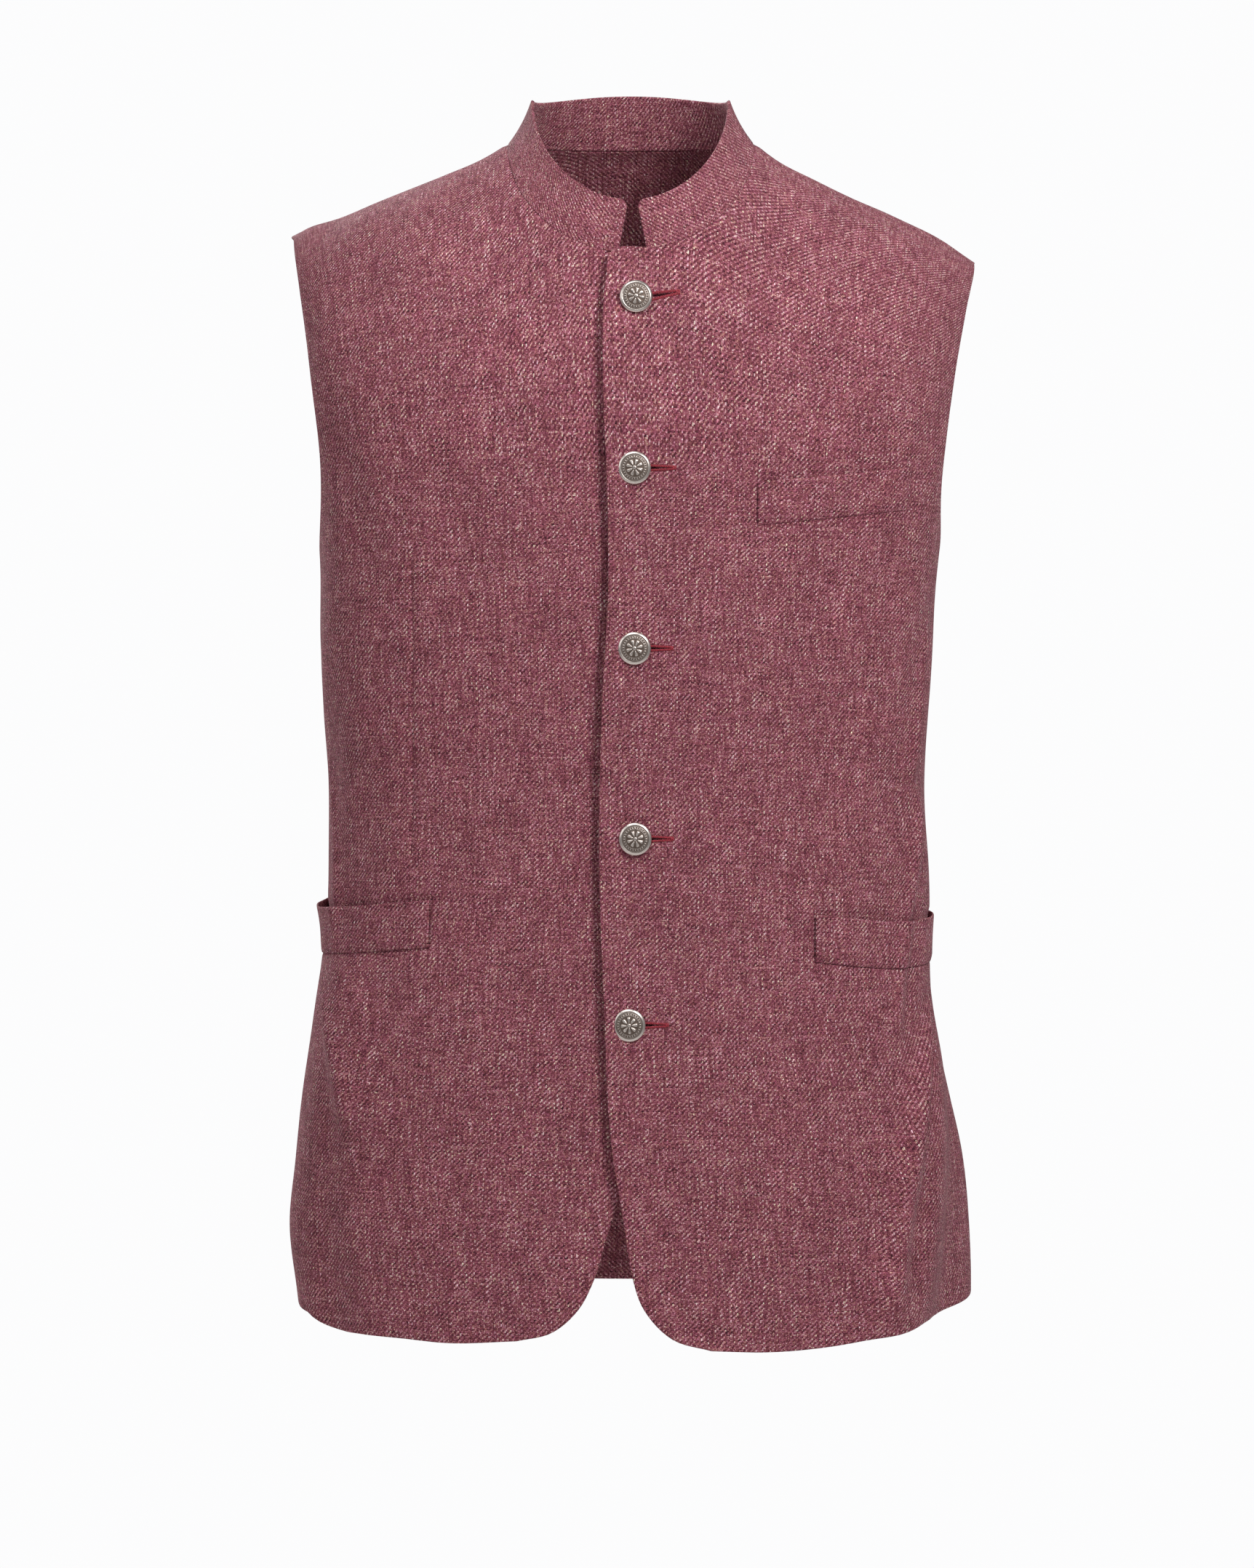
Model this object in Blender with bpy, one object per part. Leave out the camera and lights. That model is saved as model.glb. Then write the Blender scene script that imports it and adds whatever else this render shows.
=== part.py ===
"""Nehru jacket: a sleeveless hip-length jacket in coarse twill, worn shape, buttoned.

Metres, +Z up, front towards -Y. The origin is the centre of the neck at the level of
the high shoulder points, where the wearer's shoulders and neck hold the jacket. +X is
the wearer's left. The cloth follows one smooth surface, the skin, which the tables of
sections and of the shoulder line give. Each piece is cut flat in pattern coordinates
(along, rise), filled with triangles, and laid on the skin as a wall.
"""

import math
from collections import namedtuple

import bmesh
import bpy
import numpy as np
from mathutils import Matrix, Vector
from mathutils.geometry import delaunay_2d_cdt

OBJECT_NAME = "nehru_jacket"

# Cloth
WALL = 0.0018
COLLAR_WALL = 0.0026
SEAM_GAP = 0.0003
LAP_GAP = 0.0007
NET_STEP = 0.0195
EDGE_STEP = 0.0135

# The body of the jacket, from hem to shoulder. Half widths are to the wearer's right
# and left, depths are from the neck's centre line, and squareness 2 is an ellipse.
Section = namedtuple("Section", "z right left front back square_front square_back")
SECTIONS = (
    Section(-0.770, 0.209, 0.215, 0.131, 0.118, 2.7, 2.5),
    Section(-0.735, 0.213, 0.2175, 0.131, 0.117, 2.7, 2.5),
    Section(-0.690, 0.217, 0.2170, 0.130, 0.116, 2.7, 2.5),
    Section(-0.650, 0.2135, 0.2130, 0.129, 0.113, 2.7, 2.5),
    Section(-0.608, 0.209, 0.2045, 0.128, 0.110, 2.7, 2.5),
    Section(-0.560, 0.2025, 0.1935, 0.127, 0.105, 2.7, 2.5),
    Section(-0.514, 0.196, 0.1905, 0.126, 0.100, 2.7, 2.4),
    Section(-0.465, 0.1925, 0.190, 0.126, 0.097, 2.7, 2.4),
    Section(-0.412, 0.192, 0.187, 0.127, 0.097, 2.7, 2.4),
    Section(-0.365, 0.1955, 0.1895, 0.129, 0.101, 2.8, 2.4),
    Section(-0.319, 0.198, 0.192, 0.131, 0.107, 2.9, 2.5),
    Section(-0.271, 0.197, 0.1955, 0.1325, 0.113, 3.0, 2.6),
    Section(-0.215, 0.202, 0.203, 0.133, 0.117, 3.0, 2.6),
    Section(-0.170, 0.2075, 0.210, 0.133, 0.117, 3.0, 2.6),
    Section(-0.132, 0.2125, 0.216, 0.133, 0.117, 3.0, 2.6),
    Section(-0.095, 0.2175, 0.2245, 0.133, 0.117, 3.0, 2.6),
    Section(-0.064, 0.2235, 0.232, 0.133, 0.117, 3.0, 2.6),
    Section(-0.030, 0.224, 0.232, 0.133, 0.117, 3.0, 2.6),
    Section(0.060, 0.224, 0.232, 0.133, 0.117, 3.0, 2.6),
)

# Height of the shoulder line at a distance from the centre. It goes on inside the
# neck hole, where it only shapes the skin below the neckline.
Shoulder = namedtuple("Shoulder", "x right left")
SHOULDER_LINE = (
    Shoulder(0.000, 0.040, 0.040),
    Shoulder(0.039, 0.030, 0.030),
    Shoulder(0.062, 0.014, 0.014),
    Shoulder(0.078, 0.000, 0.000),
    Shoulder(0.095, -0.011, -0.0125),
    Shoulder(0.118, -0.0207, -0.0245),
    Shoulder(0.142, -0.0303, -0.0360),
    Shoulder(0.164, -0.0393, -0.0455),
    Shoulder(0.188, -0.0495, -0.0575),
    Shoulder(0.208, -0.0560, -0.0685),
    Shoulder(0.228, -0.0655, -0.0800),
)

# Above this height the skin leans in over the chest and the shoulder blades.
CHEST_Z = -0.215
CROWN = 0.250
NECK_BLEND = 0.70
SHOULDER_POWER = 1.2
NECK_POWER = 2.3
BACK_POWER = 1.0

# Neckline and collar
NECK_HALF = 0.078
NECK_FRONT_Z = -0.081
NECK_BACK_Z = 0.005
NECK_STEPS = 9
# Neckline points near the centre of the over and the under front, and the distance
# from the centre at which the plain neckline begins.
NECK_OVER = (-0.001, 0.008)
NECK_OVER_START = 0.016
NECK_UNDER = (0.008, -0.002)
NECK_UNDER_START = 0.011
COLLAR_TOP_HALF = 0.0635
COLLAR_TOP_FRONT_Y = -0.081
COLLAR_TOP_BACK_Y = 0.053
COLLAR_TOP_FRONT_Z = -0.0475
COLLAR_TOP_SIDE_Z = 0.0275
COLLAR_TOP_BACK_Z = 0.0385
COLLAR_FRONT_FALL = 1.1
COLLAR_BACK_FALL = 2.0
COLLAR_DISH = 0.0015
COLLAR_END_LEFT = 0.0096
COLLAR_END_RIGHT = 0.0074
COLLAR_TOP_END_LEFT = 0.0036
COLLAR_TOP_END_RIGHT = 0.0014
COLLAR_LEAN_RUN = 0.030
COLLAR_ROUND = 0.0070
COLLAR_END_STEPS = (0.0, 0.7, 1.8, 3.2, 5.0)
COLLAR_ROWS = 4

# Armholes
TIP_RIGHT = 0.218
TIP_LEFT = 0.2235
UNDERARM_Z = -0.271
ARMHOLE_REACH = 0.062
ARMHOLE_SKEW = 0.30
ARMHOLE_STEPS = 40
SIDE_SEAM_Y = 0.018

# Edges of the fronts at the centre and the hem, top to bottom, then outwards.
Edge = namedtuple("Edge", "x z")
LAP_EDGE = (
    Edge(-0.0070, -0.0815),
    Edge(-0.0118, -0.0850),
    Edge(-0.0145, -0.100),
    Edge(-0.0180, -0.162),
    Edge(-0.0150, -0.225),
    Edge(-0.0138, -0.287),
    Edge(-0.0180, -0.363),
    Edge(-0.0202, -0.455),
    Edge(-0.0164, -0.554),
    Edge(-0.0120, -0.635),
    Edge(-0.0058, -0.6775),
    Edge(-0.0004, -0.704),
    Edge(0.0080, -0.7306),
    Edge(0.0250, -0.7485),
    Edge(0.0480, -0.7555),
)
HEM_LEFT = (
    Edge(0.0480, -0.7555),
    Edge(0.0800, -0.7574),
    Edge(0.1260, -0.7546),
    Edge(0.1460, -0.7518),
    Edge(0.1755, -0.7456),
    Edge(0.2050, -0.7412),
)
UNDER_EDGE = (
    Edge(0.0170, -0.0795),
    Edge(0.0170, -0.300),
    Edge(0.0170, -0.500),
    Edge(0.0090, -0.590),
    Edge(-0.0075, -0.664),
    Edge(-0.0150, -0.6875),
    Edge(-0.0226, -0.713),
    Edge(-0.0320, -0.731),
    Edge(-0.0480, -0.745),
    Edge(-0.0700, -0.7505),
)
HEM_RIGHT = (
    Edge(-0.0700, -0.7505),
    Edge(-0.1100, -0.7524),
    Edge(-0.1480, -0.7512),
    Edge(-0.1840, -0.7483),
    Edge(-0.1960, -0.7443),
)
HEM_SIDE_LEFT = -0.7385
HEM_SIDE_RIGHT = -0.7428
HEM_BACK = -0.742
HEM_BACK_STEPS = 21

# The over front lies on the under front round the centre and drops to the skin
# between these distances from it.
LAP_FLAT = 0.032
LAP_END = 0.085

# Soft folds. Each row gives the crest's or trough's distance round the skin from the
# centre front, positive to the wearer's left, at its top and low ends, how much its
# line bends on the way, its half width, its height (negative for a trough) and the
# length over which it grows and dies out at its ends.
Fold = namedtuple("Fold", "name at_top z_top at_low z_low bend wide high grow")
FRONT_FOLDS = (
    Fold("left_side_crest", 0.232, -0.540, 0.154, -0.900, 3.00, 0.020, 0.0045, 0.120),
    Fold("left_side_hollow", 0.285, -0.560, 0.205, -0.900, 2.00, 0.030, -0.0140, 0.140),
    Fold("left_waist_crest", 0.209, -0.330, 0.233, -0.520, 1.00, 0.022, 0.0025, 0.080),
    Fold("right_pocket_crest", -0.221, -0.500, -0.174, -0.640, 1.20, 0.022, 0.0035, 0.040),
    Fold("right_side_hollow", -0.205, -0.600, -0.188, -0.900, 1.00, 0.024, -0.0060, 0.110),
)
# The back's folds are measured from the centre back, positive to the wearer's right.
BACK_FOLDS = (
    Fold("waist_left", -0.129, -0.330, -0.098, -0.600, 1.00, 0.034, -0.0045, 0.090),
    Fold("waist_right", 0.136, -0.345, 0.104, -0.630, 1.00, 0.034, -0.0045, 0.090),
    Fold("hem_left", -0.165, -0.520, -0.150, -0.900, 1.00, 0.036, 0.0060, 0.140),
    Fold("hem_right", 0.168, -0.545, 0.158, -0.900, 1.00, 0.036, 0.0055, 0.140),
)
FOLDS_END = 0.265
FOLDS_SIDE = 0.030

# Welts: the corners seen from the front, and how far the mouth gapes at the outer end.
Welt = namedtuple("Welt", "name inner_x outer_x outer_y top_inner top_outer tall gape")
CHEST_WELT = Welt("chest_welt", 0.0775, 0.174, None, -0.2275, -0.2155, 0.026, 0.0)
POCKET_LEFT = Welt("pocket_welt_left", 0.113, None, 0.009, -0.4925, -0.4925, 0.029, 0.0022)
POCKET_RIGHT = Welt("pocket_welt_right", -0.1235, None, 0.009, -0.4845, -0.4885, 0.029, 0.0056)
WELT_WALL = 0.0016
# Shares of the welt's length where the mouth starts to gape and where it gapes most.
GAPE_START = 0.35
GAPE_PEAK = 0.84
# How far a welt's long edges bow up from straight, by the share of its length outwards.
Bow = namedtuple("Bow", "share up")
BOWS = {
    "chest_welt": (Bow(0.0, 0.0), Bow(0.5, -0.0004), Bow(1.0, 0.0)),
    "pocket_welt_left": (
        Bow(0.0, 0.0014),
        Bow(0.2, -0.0020),
        Bow(0.5, -0.0040),
        Bow(0.75, -0.0042),
        Bow(1.0, 0.0),
    ),
    "pocket_welt_right": (Bow(0.0, 0.0022), Bow(0.25, 0.0001), Bow(0.55, -0.0012), Bow(1.0, 0.0004)),
}

# Buttons and their holes
Button = namedtuple("Button", "x z")
BUTTONS = (
    Button(0.0030, -0.1130),
    Button(0.0022, -0.2190),
    Button(0.0022, -0.3285),
    Button(0.0027, -0.4445),
    Button(-0.0010, -0.5580),
)
BUTTON_RADIUS = 0.0100
BUTTON_RIM = 0.0010
BUTTON_BACK_RADIUS = 0.0088
BUTTON_DOME = 0.0042
BUTTON_ROUND = 0.94
BUTTON_RINGS = (0.35, 0.6, 0.8, 0.93, 1.0)
# A button hangs from its shank, so it takes only part of the slope of the cloth.
BUTTON_SLOPE = 0.2
SHANK_RADIUS = 0.00075
BUTTON_STEPS = 24
HOLE_BEFORE = 0.0022
HOLE_AFTER = 0.0235
HOLE_HALF = 0.0011

# Finishes: linear base colour, roughness, metallic
CLOTH_FINISH = ((0.285, 0.112, 0.132), 0.85, 0.0)
METAL_FINISH = ((0.42, 0.40, 0.37), 0.38, 1.0)


def smooth(table, column, at):
    """A smooth curve through one column of a table, by the table's first column."""
    rows = sorted(table, key=lambda row: row[0])
    xs = np.array([row[0] for row in rows])
    ys = np.array([getattr(row, column) for row in rows])
    slopes = np.gradient(ys, xs)
    at = np.clip(at, xs[0], xs[-1])
    i = np.clip(np.searchsorted(xs, at) - 1, 0, len(xs) - 2)
    width = xs[i + 1] - xs[i]
    t = (at - xs[i]) / width
    return (
        (1 + 2 * t) * (1 - t) ** 2 * ys[i]
        + t * (1 - t) ** 2 * width * slopes[i]
        + t * t * (3 - 2 * t) * ys[i + 1]
        + t * t * (t - 1) * width * slopes[i + 1]
    )


def ease(t):
    """0 to 1, level at both ends."""
    t = np.clip(t, 0.0, 1.0)
    return t * t * (3 - 2 * t)


def by_side(side, left, right):
    return np.where(side > 0, left, right)


def round_square(turn, power):
    """Point of a unit superellipse: across and ahead, by the angle from straight ahead."""
    across, ahead = np.sin(turn), np.cos(turn)
    size = (np.abs(across) ** power + np.abs(ahead) ** power) ** (-1 / power)
    return across * size, ahead * size


def ridge(side, across):
    """Height of the shoulder line at a share of the half width."""
    left = smooth(SHOULDER_LINE, "left", across * SECTIONS[-1].left)
    right = smooth(SHOULDER_LINE, "right", across * SECTIONS[-1].right)
    return by_side(side, left, right)


def skin(side, turn, rise, out):
    """Points of the surface: side is 1 to the wearer's left and -1 to the right, turn
    is the angle from centre front to centre back, rise is the height above the chest
    line, along the skin, and out is how far outside it the point lies."""
    side, turn, rise, out = np.broadcast_arrays(side, turn, rise, out)
    low = np.minimum(rise, 0.0)
    crown = np.clip(rise / CROWN, 0.0, 1.0) * math.pi / 2
    is_front = turn <= math.pi / 2
    z_low = CHEST_Z + low
    power = np.where(
        is_front,
        smooth(SECTIONS, "square_front", z_low),
        smooth(SECTIONS, "square_back", z_low),
    )
    across, ahead = round_square(turn, power)
    z = z_low + (ridge(side, across) + out - CHEST_Z) * np.sin(crown)
    half = by_side(side, smooth(SECTIONS, "left", z), smooth(SECTIONS, "right", z))
    depth = np.where(is_front, smooth(SECTIONS, "front", z_low), smooth(SECTIONS, "back", z_low))
    closing = np.maximum(np.cos(crown), 0.0)
    near_neck = 1 - ease(across / NECK_BLEND)
    front_lean = near_neck * closing**NECK_POWER + (1 - near_neck) * closing**SHOULDER_POWER
    lean = np.where(is_front, front_lean, closing**BACK_POWER)
    x = side * across * (half + out)
    y = -ahead * (depth + out) * lean
    return np.stack([x, y, z], axis=-1)


def rise_at(side, turn, z):
    """The rise that gives a height."""
    power = np.where(turn <= math.pi / 2, SECTIONS[-1].square_front, SECTIONS[-1].square_back)
    across, _ = round_square(turn, power)
    share = np.clip((z - CHEST_Z) / (ridge(side, across) - CHEST_Z), 0.0, 1.0)
    return np.where(z > CHEST_Z, np.arcsin(share) / (math.pi / 2) * CROWN, z - CHEST_Z)


# Pattern coordinates: along is the length round the chest from centre front.
TURNS = np.linspace(0.0, math.pi, 721)
CHEST_RING = skin(1, TURNS, 0.0, 0.0)
ALONG = np.concatenate([[0.0], np.cumsum(np.linalg.norm(np.diff(CHEST_RING, axis=0), axis=1))])
HALF_GIRTH = ALONG[-1]


def locate(side, z, value, axis, is_back=False):
    """Pattern coordinates, along from centre front and rise, of the point of the skin
    at a height whose x or y is given."""
    turns = TURNS[360:] if is_back else TURNS[:361]
    found = skin(side, turns, rise_at(side, turns, z), 0.0)[:, axis]
    order = np.argsort(found)
    turn = np.interp(value, found[order], turns[order])
    return float(np.interp(turn, TURNS, ALONG)), float(rise_at(side, turn, z))


def fold_height(folds, along, rise):
    """How far the soft folds lift or sink the cloth at flat points."""
    z = CHEST_Z + rise
    total = np.zeros_like(along)
    for fold in folds:
        down = np.clip((fold.z_top - z) / (fold.z_top - fold.z_low), 0.0, 1.0)
        crest = fold.at_low + (fold.at_top - fold.at_low) * (1 - down) ** fold.bend
        span = (along - crest) / fold.wide
        grown = ease((fold.z_top - z) / fold.grow) * ease((z - fold.z_low) / fold.grow)
        total += fold.high * np.exp(-span * span) * grown
    return total * (1 - ease((np.abs(along) - FOLDS_END) / FOLDS_SIDE))


def lap_lift(along):
    """How far the over front lies outside the skin."""
    away = (np.abs(along) - LAP_FLAT) / (LAP_END - LAP_FLAT)
    return (WALL + LAP_GAP) * (1 - ease(away))


def front_skin(flat, out, is_over):
    """Places of flat points of a front, along positive to the wearer's left."""
    side = np.where(flat[:, 0] >= 0, 1, -1)
    turn = np.interp(np.abs(flat[:, 0]), ALONG, TURNS)
    lift = fold_height(FRONT_FOLDS, flat[:, 0], flat[:, 1])
    if is_over:
        lift = lift + lap_lift(flat[:, 0])
    return skin(side, turn, flat[:, 1], lift + out)


def back_skin(flat, out):
    """Places of flat points of the back, along from centre back to the wearer's right."""
    side = np.where(flat[:, 0] > 0, -1, 1)
    turn = np.interp(HALF_GIRTH - np.abs(flat[:, 0]), ALONG, TURNS)
    lift = fold_height(BACK_FOLDS, flat[:, 0], flat[:, 1])
    return skin(side, turn, flat[:, 1], lift + out)


# Outlines


def curve_through(rows, step):
    """Points a step apart on a smooth curve through the rows of an edge."""
    points = np.array(rows)
    knots = np.concatenate([[0.0], np.cumsum(np.linalg.norm(np.diff(points, axis=0), axis=1))])
    Knot = namedtuple("Knot", "at x z")
    table = [Knot(k, p[0], p[1]) for k, p in zip(knots, points)]
    at = np.linspace(0.0, knots[-1], max(2, round(knots[-1] / step) + 1))
    return np.stack([smooth(table, "x", at), smooth(table, "z", at)], axis=-1)


def on_front(points):
    """Flat coordinates of front points given by x and z."""
    made = []
    for x, z in points:
        side = 1 if x >= 0 else -1
        along, rise = locate(side, z, x, 0)
        made.append((side * along, rise))
    return made


def shoulder_edge(side, x_start, x_end, is_back):
    """Flat coordinates of the shoulder seam between two distances from the centre."""
    steps = max(2, round(abs(x_end - x_start) / EDGE_STEP) + 1)
    made = []
    for x in np.linspace(x_start, x_end, steps):
        across = x / float(by_side(side, SECTIONS[-1].left, SECTIONS[-1].right))
        power = SECTIONS[-1].square_back if is_back else SECTIONS[-1].square_front
        ahead = (1 - across**power) ** (1 / power)
        turn = math.atan2(across, -ahead if is_back else ahead)
        made.append((side * float(np.interp(turn, TURNS, ALONG)), CROWN))
    return made


def armhole_edge(side, start, end):
    """Flat coordinates of an armhole, by the angle from the shoulder tip round the
    front: 180 degrees is the underarm."""
    tip_x = TIP_LEFT if side > 0 else TIP_RIGHT
    tip_z = float(smooth(SHOULDER_LINE, "left" if side > 0 else "right", tip_x))
    middle, tall = (tip_z + UNDERARM_Z) / 2, (tip_z - UNDERARM_Z) / 2
    made = []
    for angle in np.linspace(start, end, round(abs(end - start) / 180 * ARMHOLE_STEPS / 2) + 1):
        turn = math.radians(angle)
        y = -ARMHOLE_REACH * math.sin(turn) * (1 - ARMHOLE_SKEW * math.cos(turn))
        z = middle + tall * math.cos(turn)
        along, rise = locate(side, z, y, 1, is_back=y > 0)
        tip_along = abs(shoulder_edge(side, tip_x, tip_x, y > 0)[0][0])
        beyond = along < tip_along if y > 0 else along > tip_along
        if z > CHEST_Z and beyond:
            along = tip_along
            rise = float(rise_at(side, np.interp(along, ALONG, TURNS), z))
        made.append((side * along, rise))
    return made


def underarm_angle():
    """The armhole angle at which the side seam meets it."""
    angles = np.radians(np.linspace(180.0, 230.0, 501))
    y = -ARMHOLE_REACH * np.sin(angles) * (1 - ARMHOLE_SKEW * np.cos(angles))
    return float(np.degrees(np.interp(SIDE_SEAM_Y, y, angles)))


def side_edge(side):
    """Flat coordinates of a side seam, from the hem up to the underarm."""
    low = HEM_SIDE_LEFT if side > 0 else HEM_SIDE_RIGHT
    angle = math.radians(underarm_angle())
    tip_x = TIP_LEFT if side > 0 else TIP_RIGHT
    tip_z = float(smooth(SHOULDER_LINE, "left" if side > 0 else "right", tip_x))
    high = (tip_z + UNDERARM_Z) / 2 + (tip_z - UNDERARM_Z) / 2 * math.cos(angle)
    made = []
    for z in np.linspace(low, high, round((high - low) / EDGE_STEP) + 1):
        along, rise = locate(side, z, SIDE_SEAM_Y, 1, is_back=True)
        made.append((side * along, rise))
    return made


def neck_angles():
    return np.radians(np.linspace(0.0, 90.0, NECK_STEPS + 1))


def neck_height(x):
    """Height of the front neckline at a distance from the centre."""
    return NECK_FRONT_Z * math.sqrt(1 - (x / NECK_HALF) ** 2)


def neck_front(side, x_start):
    """Flat coordinates of the front neckline from a distance from the centre to the
    high shoulder point."""
    first = math.asin(min(1.0, x_start / NECK_HALF))
    angles = [first] + [a for a in neck_angles() if a > first + 0.05]
    made = []
    for a in angles[:-1]:
        along, rise = locate(side, NECK_FRONT_Z * math.cos(a), side * NECK_HALF * math.sin(a), 0)
        made.append((side * along, rise))
    return made + shoulder_edge(side, NECK_HALF, NECK_HALF, False)[:1]


def neck_back(side):
    """Flat coordinates of the back neckline from the centre to the shoulder point."""
    made = []
    for a in neck_angles()[:-1]:
        x = side * NECK_HALF * math.sin(a)
        along, rise = locate(side, NECK_BACK_Z * math.cos(a), x, 0, is_back=True)
        made.append((side * along, rise))
    return made + shoulder_edge(side, NECK_HALF, NECK_HALF, True)[:1]


def joined(*edges):
    """One outline from edges that follow each other."""
    points = []
    for edge in edges:
        for point in edge:
            if not points or math.dist(points[-1], point) > 1e-6:
                points.append(tuple(point))
    if math.dist(points[0], points[-1]) < 1e-6:
        points.pop()
    return np.array(points)


def drawn_in(outline, by):
    """An outline moved inwards by a small distance."""
    following = np.roll(outline, -1, axis=0)
    area = np.sum(outline[:, 0] * following[:, 1] - following[:, 0] * outline[:, 1])
    along = following - outline
    normal = np.stack([-along[:, 1], along[:, 0]], axis=-1) * (1 if area > 0 else -1)
    normal /= np.linalg.norm(normal, axis=1)[:, None]
    mean = normal + np.roll(normal, 1, axis=0)
    mean /= np.maximum(np.sum(mean * normal, axis=1), 0.5)[:, None]
    return outline + mean * by


# Flat pieces to walls


def is_inside(points, polygon):
    """Which points lie inside a polygon."""
    inside = np.zeros(len(points), dtype=bool)
    following = np.roll(polygon, -1, axis=0)
    for (ax, ay), (bx, by) in zip(polygon, following):
        crosses = (ay > points[:, 1]) != (by > points[:, 1])
        if ay != by:
            at = ax + (points[:, 1] - ay) / (by - ay) * (bx - ax)
            inside ^= crosses & (points[:, 0] < at)
    return inside


def net(outline, marks=(), holes=()):
    """Triangles that fill an outline, with each mark's edges kept and each hole left
    open. Gives flat points and triangles."""
    low, high = outline.min(axis=0), outline.max(axis=0)
    rows = []
    for i, rise in enumerate(np.arange(low[1], high[1], NET_STEP * math.sqrt(0.75))):
        along = np.arange(low[0] + (i % 2) * NET_STEP / 2, high[0], NET_STEP)
        rows.append(np.stack([along, np.full_like(along, rise)], axis=-1))
    grid = np.concatenate(rows)
    loops = [outline, *marks, *holes]
    edges_at = np.concatenate(loops)
    clear = np.linalg.norm(grid[:, None] - edges_at[None], axis=2).min(axis=1) > NET_STEP * 0.5
    grid = grid[clear & is_inside(grid, outline)]
    points, edges = [], []
    for loop in loops:
        first = len(points)
        points += [Vector(p) for p in loop]
        edges += [(first + i, first + (i + 1) % len(loop)) for i in range(len(loop))]
    points += [Vector(p) for p in grid]
    flat, _, faces, *_ = delaunay_2d_cdt(points, edges, [], 1, 1e-7)
    flat = np.array([tuple(p) for p in flat])
    faces = np.array([tuple(face) for face in faces])
    middle = flat[faces].mean(axis=1)
    keep = is_inside(middle, outline)
    for hole in holes:
        keep &= ~is_inside(middle, hole)
    return flat, faces[keep]


def part_of(flat, faces, mark):
    """The triangles inside a mark, with their own numbering of the points."""
    faces = faces[is_inside(flat[faces].mean(axis=1), mark)]
    used, renumbered = np.unique(faces, return_inverse=True)
    return flat[used], renumbered.reshape(faces.shape)


def rim_edges(faces):
    """Edges that only one face has, in that face's direction."""
    once = {}
    for face in faces:
        for i, a in enumerate(face):
            b = face[(i + 1) % len(face)]
            if (b, a) in once:
                del once[(b, a)]
            else:
                once[(a, b)] = True
    return list(once)


def wall(name, faces, outer, inner, finish):
    """A closed wall between outer and inner points that share their faces."""
    faces = [tuple(int(i) for i in face) for face in faces]
    count = len(outer)
    sides = [(b, a, a + count, b + count) for a, b in rim_edges(faces)]
    inside = [tuple(i + count for i in reversed(face)) for face in faces]
    mesh = bpy.data.meshes.new(name)
    mesh.from_pydata([tuple(p) for p in np.concatenate([outer, inner])], [], faces + inside + sides)
    mesh.validate()
    piece = bpy.data.objects.new(name, mesh)
    mesh.materials.append(material(name, finish))
    used = bmesh.new()
    used.from_mesh(mesh)
    bmesh.ops.delete(used, geom=[v for v in used.verts if not v.link_faces], context="VERTS")
    used.to_mesh(mesh)
    used.free()
    mesh.shade_smooth()
    mesh.set_sharp_from_angle(angle=math.radians(40))
    COLLECTION.objects.link(piece)
    return piece


def material(name, finish):
    colour, roughness, metallic = finish
    made = bpy.data.materials.new(name)
    made.use_nodes = True
    shader = made.node_tree.nodes["Principled BSDF"]
    shader.inputs["Base Color"].default_value = (*colour, 1.0)
    shader.inputs["Roughness"].default_value = roughness
    shader.inputs["Metallic"].default_value = metallic
    return made


# The pieces


def slit(button):
    """The buttonhole's outline, in flat coordinates."""
    ends = (
        (button.x - HOLE_BEFORE, 0.0),
        (button.x - HOLE_BEFORE / 2, -HOLE_HALF),
        (button.x + HOLE_AFTER - HOLE_BEFORE / 2, -HOLE_HALF),
        (button.x + HOLE_AFTER, 0.0),
        (button.x + HOLE_AFTER - HOLE_BEFORE / 2, HOLE_HALF),
        (button.x - HOLE_BEFORE / 2, HOLE_HALF),
    )
    return np.array(on_front([(x, button.z + dz) for x, dz in ends]))


def welt_outline(welt):
    """A welt's outline, in flat coordinates."""
    side = 1 if welt.inner_x > 0 else -1
    corners = []
    for drop in (0.0, welt.tall):
        inner = on_front([(welt.inner_x, welt.top_inner - drop)])[0]
        if welt.outer_x is None:
            z, y = welt.top_outer - drop, welt.outer_y
            along, rise = locate(side, z, y, 1, is_back=y > 0)
            outer = (side * along, rise)
        else:
            outer = on_front([(welt.outer_x, welt.top_outer - drop)])[0]
        corners.append((np.array(inner), np.array(outer)))
    (top_in, top_out), (low_in, low_out) = corners
    steps = max(2, round(abs(top_out[0] - top_in[0]) / EDGE_STEP) + 1)
    shares = np.linspace(0, 1, steps)[:, None]
    bow = np.stack([np.zeros(steps), smooth(BOWS[welt.name], "up", shares[:, 0])], axis=-1)
    top = top_in + (top_out - top_in) * shares + bow
    low = low_in + (low_out - low_in) * shares + bow
    outline = joined(top, [(top[-1] + low[-1]) / 2], low[::-1], [(top[0] + low[0]) / 2])
    return outline[::-1] if side > 0 else outline


def between(start, end):
    """Flat points on the straight line between two corners."""
    steps = max(1, round(math.dist(start, end) / EDGE_STEP))
    return [tuple(np.array(start) + np.subtract(end, start) * k / steps) for k in range(1, steps)]


def gape(welt, flat):
    """How far a welt's mouth stands off the front, at its flat points."""
    low, high = np.abs(flat[:, 0]).min(), np.abs(flat[:, 0]).max()
    outwards = (np.abs(flat[:, 0]) - low) / (high - low)
    straight = flat[:, 1] - smooth(BOWS[welt.name], "up", outwards)
    upwards = (straight - straight.min()) / np.ptp(straight)
    opening = ease((outwards - GAPE_START) / (GAPE_PEAK - GAPE_START))
    closing = ease((1 - outwards) / (1 - GAPE_PEAK))
    return welt.gape * opening * closing * np.clip(upwards, 0.0, 1.0) ** 1.5


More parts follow.
